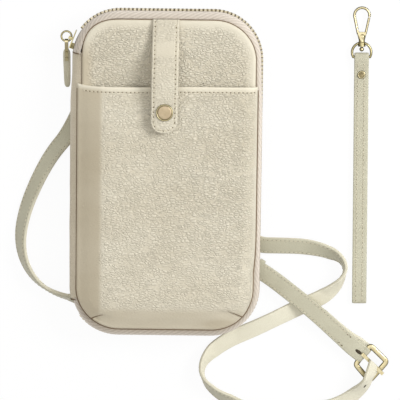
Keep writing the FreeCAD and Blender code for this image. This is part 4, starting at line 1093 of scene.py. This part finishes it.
def dart_dip(x, y):
    """Groove along each dart: a bell across the line between its two ends, and a wider hollow below it."""
    dip = np.zeros_like(x)
    for start, end in DARTS:
        way = end - start
        share = np.clip(((x - start[0]) * way[0] + (y - start[1]) * way[1]) / np.sum(way ** 2), 0, 1)
        off_x, off_y = x - start[0] - share * way[0], y - start[1] - share * way[1]
        away = np.hypot(off_x, off_y)
        dip = dip + 1.1 * (1 - 0.7 * share) * bell(away, 0.7) + bell(away, 5.0) * eased(0.5 - off_y / 4)
    return dip


def lift_at(y):
    """How far the pocket's lower end is drawn up from the outline."""
    return POCKET_LIFT * eased((-50 - y) / 40)


def drawn_in(x, y):
    """The pocket's right side drawn in where its lower corner begins: a bell along the height."""
    return x - 1.8 * bell(y + 66, 15) * eased(x / 50)


def slope(distance):
    """Straight rise that turns level at the slope's width: a soft lower bound of distance / width and 1."""
    return 1 - np.log1p(np.exp(SLOPE_BEND * (1 - np.maximum(distance, 0) / SLOPE_WIDTH))) / SLOPE_BEND


def pocket_height(x, y):
    """Height of the pocket's face: straight slopes at the left and the bottom, rounded on the right."""
    flat_x, flat_y = x - POCKET_SHIFT, y - lift_at(y)
    distance = edge_distance(flat_x, flat_y, POCKET_INSET)
    left = slope(flat_x + HALF_WIDTH - POCKET_INSET)
    low = slope(flat_y + HALF_HEIGHT - POCKET_INSET)
    mouth_drop = 3.2 * np.exp(-np.clip(mouth_y(x) - y, 0, None) / 12.0)
    wave = 0.28 * soft_noise(x, y, 52, 11) + 0.14 * soft_noise(x, y, 21, 12)
    full = POCKET_TOP - FRONT_SEAM - POCKET_EDGE - mouth_drop + wave * np.clip(distance / 14, 0, 1)
    body = full * left * low * pillow(distance, 8.0) + POCKET_EDGE * pillow(distance, 1.3)
    return FRONT_SEAM + 0.1 + np.maximum(body - dart_dip(x, y) * np.clip(distance / 2, 0, 1), 0)


pocket_middle = pocket_height(np.zeros(1), np.zeros(1))[0]
print("the pocket's middle is", round(float(pocket_middle), 1), "mm above the table")

# %% [markdown]
# On that form lies one closed sheet: the outer face, a rolled lip at the mouth and
# the inner face. Its grain fades out over the smooth strip on the left and along
# the bottom, which also get painted shade, as does a patch below the right dart,
# and the lip is rubbed pale.

# %% Pocket shell
POCKET_THICK = 1.6
MOUTH_STITCH = 2.5


def pocket_grain(x, y):
    """Share of grain: none on the smooth left strip and the bottom, full in the middle."""
    ragged = 1.6 * soft_noise(x, y, 12, 21)
    strength = 0.66 + 0.24 * eased((x + 35) / 70) * eased((y + 70) / 60)
    return (0.1 + strength * eased((x + 38.8 + ragged) / 5) * eased((y + 82 + ragged) / 9)
            * eased((53.5 - x) / 4) * eased((mouth_y(x) - y - 1.0) / 3))


def pocket_shell():
    """Outer face from the mouth to the bottom seam, a rolled mouth edge, and an inner face under it."""
    share_y = np.linspace(0, 1, 190)[:, None]
    turn = np.linspace(0, np.pi / 2, 70)[1:, None]
    bend = CORNER - POCKET_INSET
    half = np.concatenate([np.full_like(share_y, HALF_WIDTH - POCKET_INSET),
                           HALF_WIDTH - CORNER + bend * np.cos(turn)])
    x = POCKET_SHIFT + half * np.sin(np.linspace(-1, 1, 191) * np.pi / 2)
    top = mouth_y(x[:len(share_y)])
    bottom = np.broadcast_to(-STRAIGHT - bend * np.sin(turn), (len(turn), x.shape[1]))
    y = np.concatenate([top - share_y * (top + STRAIGHT), bottom])
    y = y + lift_at(y)
    outer = np.stack([drawn_in(x, y), y, pocket_height(x, y)], axis=-1)
    roll = np.linspace(0.2, 0.9, 6)[:, None, None] * np.pi
    lip = outer[:1] + np.concatenate([np.zeros_like(roll), 0.55 * np.sin(roll),
                                      -POCKET_THICK / 2 * (1 - np.cos(roll))], axis=2)
    inner = outer - POCKET_THICK * UP
    inner[..., 2] = np.maximum(inner[..., 2], FRONT_SEAM + 0.02)
    points = np.concatenate([outer[::-1], lip, inner])
    x, y = points[..., 0], points[..., 1]
    below = np.clip(mouth_y(x) - y, 0, None)
    # Painted shade on the left strip and the bottom, and a painted shadow below the right dart.
    painted_shade = np.maximum(eased((-35.8 - x) / 3), 0.55 * eased((-76 - y) / 5))
    painted_shade = np.minimum(painted_shade + 0.9 * bell(x - 33, 9) * bell(y + 87.5, 2.6), 1.4)
    marks = {"grain": pocket_grain(x, y), "rubbed": 0.9 * np.exp(-below / 0.7), "painted_shade": painted_shade * eased(below / 3)}
    make_piece("pocket_face", points * MM, pouch_leather, "cover", ["front_pocket"], marks=marks,
               wrap=(True, False))


pocket_shell()
stitch_x = np.linspace(-48.5, 51.5, 400)
stitch_y = mouth_y(stitch_x) - MOUTH_STITCH
mouth_line = placed(stitch_x, stitch_y, pocket_height(stitch_x, stitch_y) + 0.05)
stitch_row("pocket_mouth_stitch", mouth_line, "cover", 2.4, 0.22, -24, 0.4)

# %% [markdown]
# A thin dark line runs all round where the panel and the pocket are sewn to the
# tape: the raw edges meet there in a groove, and the line is their dark colour with
# painted shade in the groove. It is a fine round line laid into that groove, thinner
# beside the spine, and each dart has one of painted shade that tapers off on the
# leather.

# %% Seam lines
x, y = seated(*outline(PANEL_INSET - 0.1, 600).T)
beside_spine = eased((-40 - x) / 6) * eased((78 - y) / 8)
tube("panel_seam", placed(x, y, FRONT_SEAM + 0.12), 0.34 - 0.14 * beside_spine, seam_shade, "cover", closed=True)

pocket_ring = outline(POCKET_INSET - 0.15, 900)
pocket_ring = pocket_ring[pocket_ring[:, 1] < MOUTH - 0.5]
widest_gap = int(np.argmax(np.linalg.norm(np.diff(pocket_ring, axis=0), axis=1)))
x, y = np.roll(pocket_ring, -widest_gap - 1, axis=0).T
y = y + lift_at(y)
x = drawn_in(x + POCKET_SHIFT, y)
beside_spine = eased((-42 - x) / 8) * eased((y + 75) / 20)
tube("pocket_seam", placed(x, y, FRONT_SEAM - 0.1), 0.52 - 0.18 * beside_spine, seam_shade, "cover")

share = np.linspace(0, 1, 24)
for label, (begin, stop) in zip(("left", "right"), DARTS):
    x, y = begin[:, None] + share * (stop - begin)[:, None]
    y = y + 0.5 * np.sin(share * np.pi)
    tube("dart_" + label, placed(x, y, pocket_height(x, y) + 0.08), 0.42 - 0.26 * share, seam_shade, "cover")

# %% [markdown]
# The closure tab comes out of the top seam, runs down over the mouth and ends
# round. Its centre line is the solid's profile, eased at the bends. Across its
# width it is slightly crowned, with a groove where the stitches pull it in.

# %% Closure tab
TAB_HALF = 7.8
TAB_END = 25.6
TAB_ROUND = 7.4
TAB_BEND = TAB_END + TAB_ROUND
TAB_THICK = 2.4
TAB_CROWN = 0.35
TAB_STITCH = 1.75


def tab_middle(y):
    """Middle of the tab across the pouch: it hangs a touch to the left."""
    return -0.75 + 0.0085 * (y - 57)


def tab_level(y):
    """Height of the tab's underside along its length, eased between the seam, the panel and the pocket."""
    return 25.9 + 10.1 * eased((85.0 - y) / 29.5) - 1.8 * eased((y - 85.5) / 5.0)


def tab_shell():
    """Upper face, rounded edge and underside of the tab on one closed grid."""
    length = np.concatenate([np.linspace(90.4, TAB_BEND, 120),
                             TAB_BEND - TAB_ROUND * np.sin(np.linspace(0, np.pi / 2, 28)[1:])])[:, None]
    over = np.clip((TAB_BEND - length) / TAB_ROUND, 0, 1)
    half = TAB_HALF * np.sqrt(np.clip(1 - over ** 2.2, 0, 1)) + 0.02
    across = np.concatenate([np.linspace(-1, -0.7, 12), np.linspace(-0.7, 0.7, 21)[1:],
                             np.linspace(0.7, 1, 12)[1:]])
    inward = np.minimum((1 - np.abs(across)) * half, length - TAB_END + 0.02)
    edge = TAB_THICK * pillow(inward, 0.9)
    groove = -0.3 * bell(inward - TAB_STITCH, 0.5) * (edge > 1)
    crown = TAB_CROWN * (1 - across ** 2) * edge / TAB_THICK
    x = tab_middle(length) + across * half
    middle = tab_level(length) + 0.4 * TAB_THICK
    upper = placed(x, length, middle + 0.6 * edge + groove + crown)
    under = placed(x, length, middle - 0.4 * edge)
    rings = capped(np.concatenate([upper, under[:, ::-1]], axis=1))
    bare = 0.12 + 0.5 * eased(np.abs(rings[..., 1] / MM - 73.5) / 3.5 - 0.6)
    inside = np.concatenate([inward, inward[:, ::-1]], axis=1)
    inside = np.concatenate([inside[:1], inside, inside[-1:]])
    make_piece("tab_leather", rings, pouch_leather, "tab", ["closure_tab"],
               marks={"grain": bare, "rubbed": 0.2 * bell(inside - 0.7, 0.5)})


def tab_stitches():
    """Stitch line a little in from the tab's edge: down one side, round the end and up the other."""
    half = TAB_HALF - TAB_STITCH
    down = np.linspace(88.5, TAB_BEND, 200)
    turn = np.linspace(0, np.pi, 80)
    x = np.concatenate([np.full(200, half), half * np.cos(turn), np.full(200, -half)])
    y = np.concatenate([down, TAB_BEND - (TAB_ROUND - TAB_STITCH) * np.sin(turn), down[::-1]])
    crown = TAB_CROWN * (1 - (x / TAB_HALF) ** 2)
    line = placed(tab_middle(y) + x, y, tab_level(y) + TAB_THICK - 0.24 + crown)
    stitch_row("tab_stitch", line, "tab", 2.8, 0.3, -34, 0.48)


tab_shell()
tab_stitches()

# %% [markdown]
# Round fittings are profiles turned about an axis. The snap's cap is a flat matt
# disc in a raised bright rim, and the wrist strap's rivet is a bright ring round a
# sunk face in a darker copy of the gold, painted shade. The clasp has a small pin
# head and a collar of the same kind, the collar also in that painted shade.

# %% Snap cap and rivet
SNAP = (-0.6, 37.9, 38.4)
RIVET = wrist_place(0.0, -10.4, 2 * WRIST_LAYER)


def turned(name, profile, centre, finish, body, nodes=(), axis=UP, side=(1.0, 0.0, 0.0)):
    """Profile of pairs of radius and height turned about an axis through a centre (mm)."""
    angle = circle(64)[:, None]
    out = np.cos(angle) * side + np.sin(angle) * np.cross(axis, side)
    radius, height = np.array(profile).T[..., None, None]
    make_piece(name, (np.array(centre) + radius * out + height * axis) * MM, finish, body, nodes)


turned("snap_cap_rim", [(3.7, 0.0), (4.95, 0.0), (4.98, 0.7), (4.9, 1.05), (4.75, 1.28), (4.55, 1.36),
                        (4.35, 1.28), (4.2, 1.08), (3.7, 0.9), (3.7, 0.0)], SNAP, pale_gold, "tab", ["snap_cap"])
turned("snap_cap_face", [(0.001, 0.3), (4.2, 0.3), (4.18, 1.04), (3.4, 1.12), (1.6, 1.18), (0.001, 1.2)],
       SNAP, snap_gold, "tab")
turned("wrist_rivet_rim", [(1.2, -0.4), (2.25, -0.4), (2.4, 0.1), (2.35, 0.5), (2.15, 0.78), (1.85, 0.85),
                           (1.6, 0.7), (1.5, 0.3), (1.2, -0.4)], RIVET, pale_gold, "wrist", ["wrist_rivet"])
turned("wrist_rivet_face", [(0.001, 0.1), (1.75, 0.1), (1.7, 0.66), (1.2, 0.56), (0.6, 0.5), (0.001, 0.48)],
       RIVET, shaded_gold, "wrist")
turned("gate_pin_head", [(0.001, -0.6), (1.5, -0.6), (1.5, 0.12), (1.2, 0.2), (1.15, 0.34), (0.7, 0.5),
                         (0.001, 0.55)], wrist_place(0.3, 11.9, 4.2), pale_gold, "clasp")
turned("swivel_collar", [(0.9, -1.2), (1.9, -1.2), (2.15, -0.8), (2.2, 0.0), (2.15, 0.8), (1.9, 1.2), (0.9, 1.2),
                         (0.9, -1.2)], wrist_place(0.0, 7.7, BAR_LEVEL), shaded_gold, "clasp", axis=WRIST_Y, side=UP)

# %% [markdown]
# The pull on the zip is a small tongue of leather with rounded ends, held in a
# folded metal link. It hangs from the slider's ring down to the table. Its width
# and thickness both close at the ends by the same rounded rule.

# %% Zip pull
PULL_AXIS = np.array([-58.33, 76.3, 14.8])
PULL_DROOP = math.radians(26)
PULL_WAY = np.array([0.0, -math.cos(PULL_DROOP), -math.sin(PULL_DROOP)])
PULL_SIDE = np.array([1.0, 0.0, 0.0])


def pull_tongue():
    """Rings along the pull: half-width and half-thickness fall to nothing at both rounded ends."""
    share = ((1 - np.cos(np.linspace(0.02, np.pi - 0.02, 60))) / 2)[:, None, None]
    away = np.abs(2 * share - 1)
    wide = 4.5 * (1.0 - 0.2 * share) * np.sqrt(1 - away ** 9)
    thick = 1.9 * np.sqrt(1 - away ** 14)
    profile = oval(1.0, 1.0, 20, 0.45)
    rings = ((PULL_AXIS + (5.0 + 26.0 * share) * PULL_WAY) * MM + wide * profile[:, :1] * PULL_SIDE
             + thick * profile[:, 1:] * np.cross(PULL_SIDE, PULL_WAY))
    make_piece("pull_tongue", capped(rings), pull_leather, "pull", ["pull_tab"])


pull_tongue()

# %% [markdown]
# The remaining solids keep their own shape and get their finish: teeth, slider,
# rings, buckle and clasp. The front row of teeth is pale and the back row is a darker
# copy of the same brass, painted shade, so that the gaps between them read as a line
# of dark dots. The slider, the pull's ring and the clasp's loop get a dimmer copy of
# the gold, which is painted shade too.

# %% Finishes on the solids
FINISHES = {
    tooth_pale: ["front_teeth"],
    tooth_shaded: ["back_teeth"],
    ring_gold_shaded: ["slider_body", "pull_ring", "clasp_loop"],
    pale_gold: ["pull_link", "pull_rivets", "square_ring_left", "square_ring_right",
                "buckle_prong", "clasp_hook", "clasp_gate", "gate_pin", "snap_stud",
                "snap_post", "snap_socket"],
}
for finish, names in FINISHES.items():
    for name in names:
        solid = bpy.data.objects[name]
        solid.data.materials.clear()
        solid.data.materials.append(finish)
print("finished", sum(len(names) for names in FINISHES.values()), "solids")
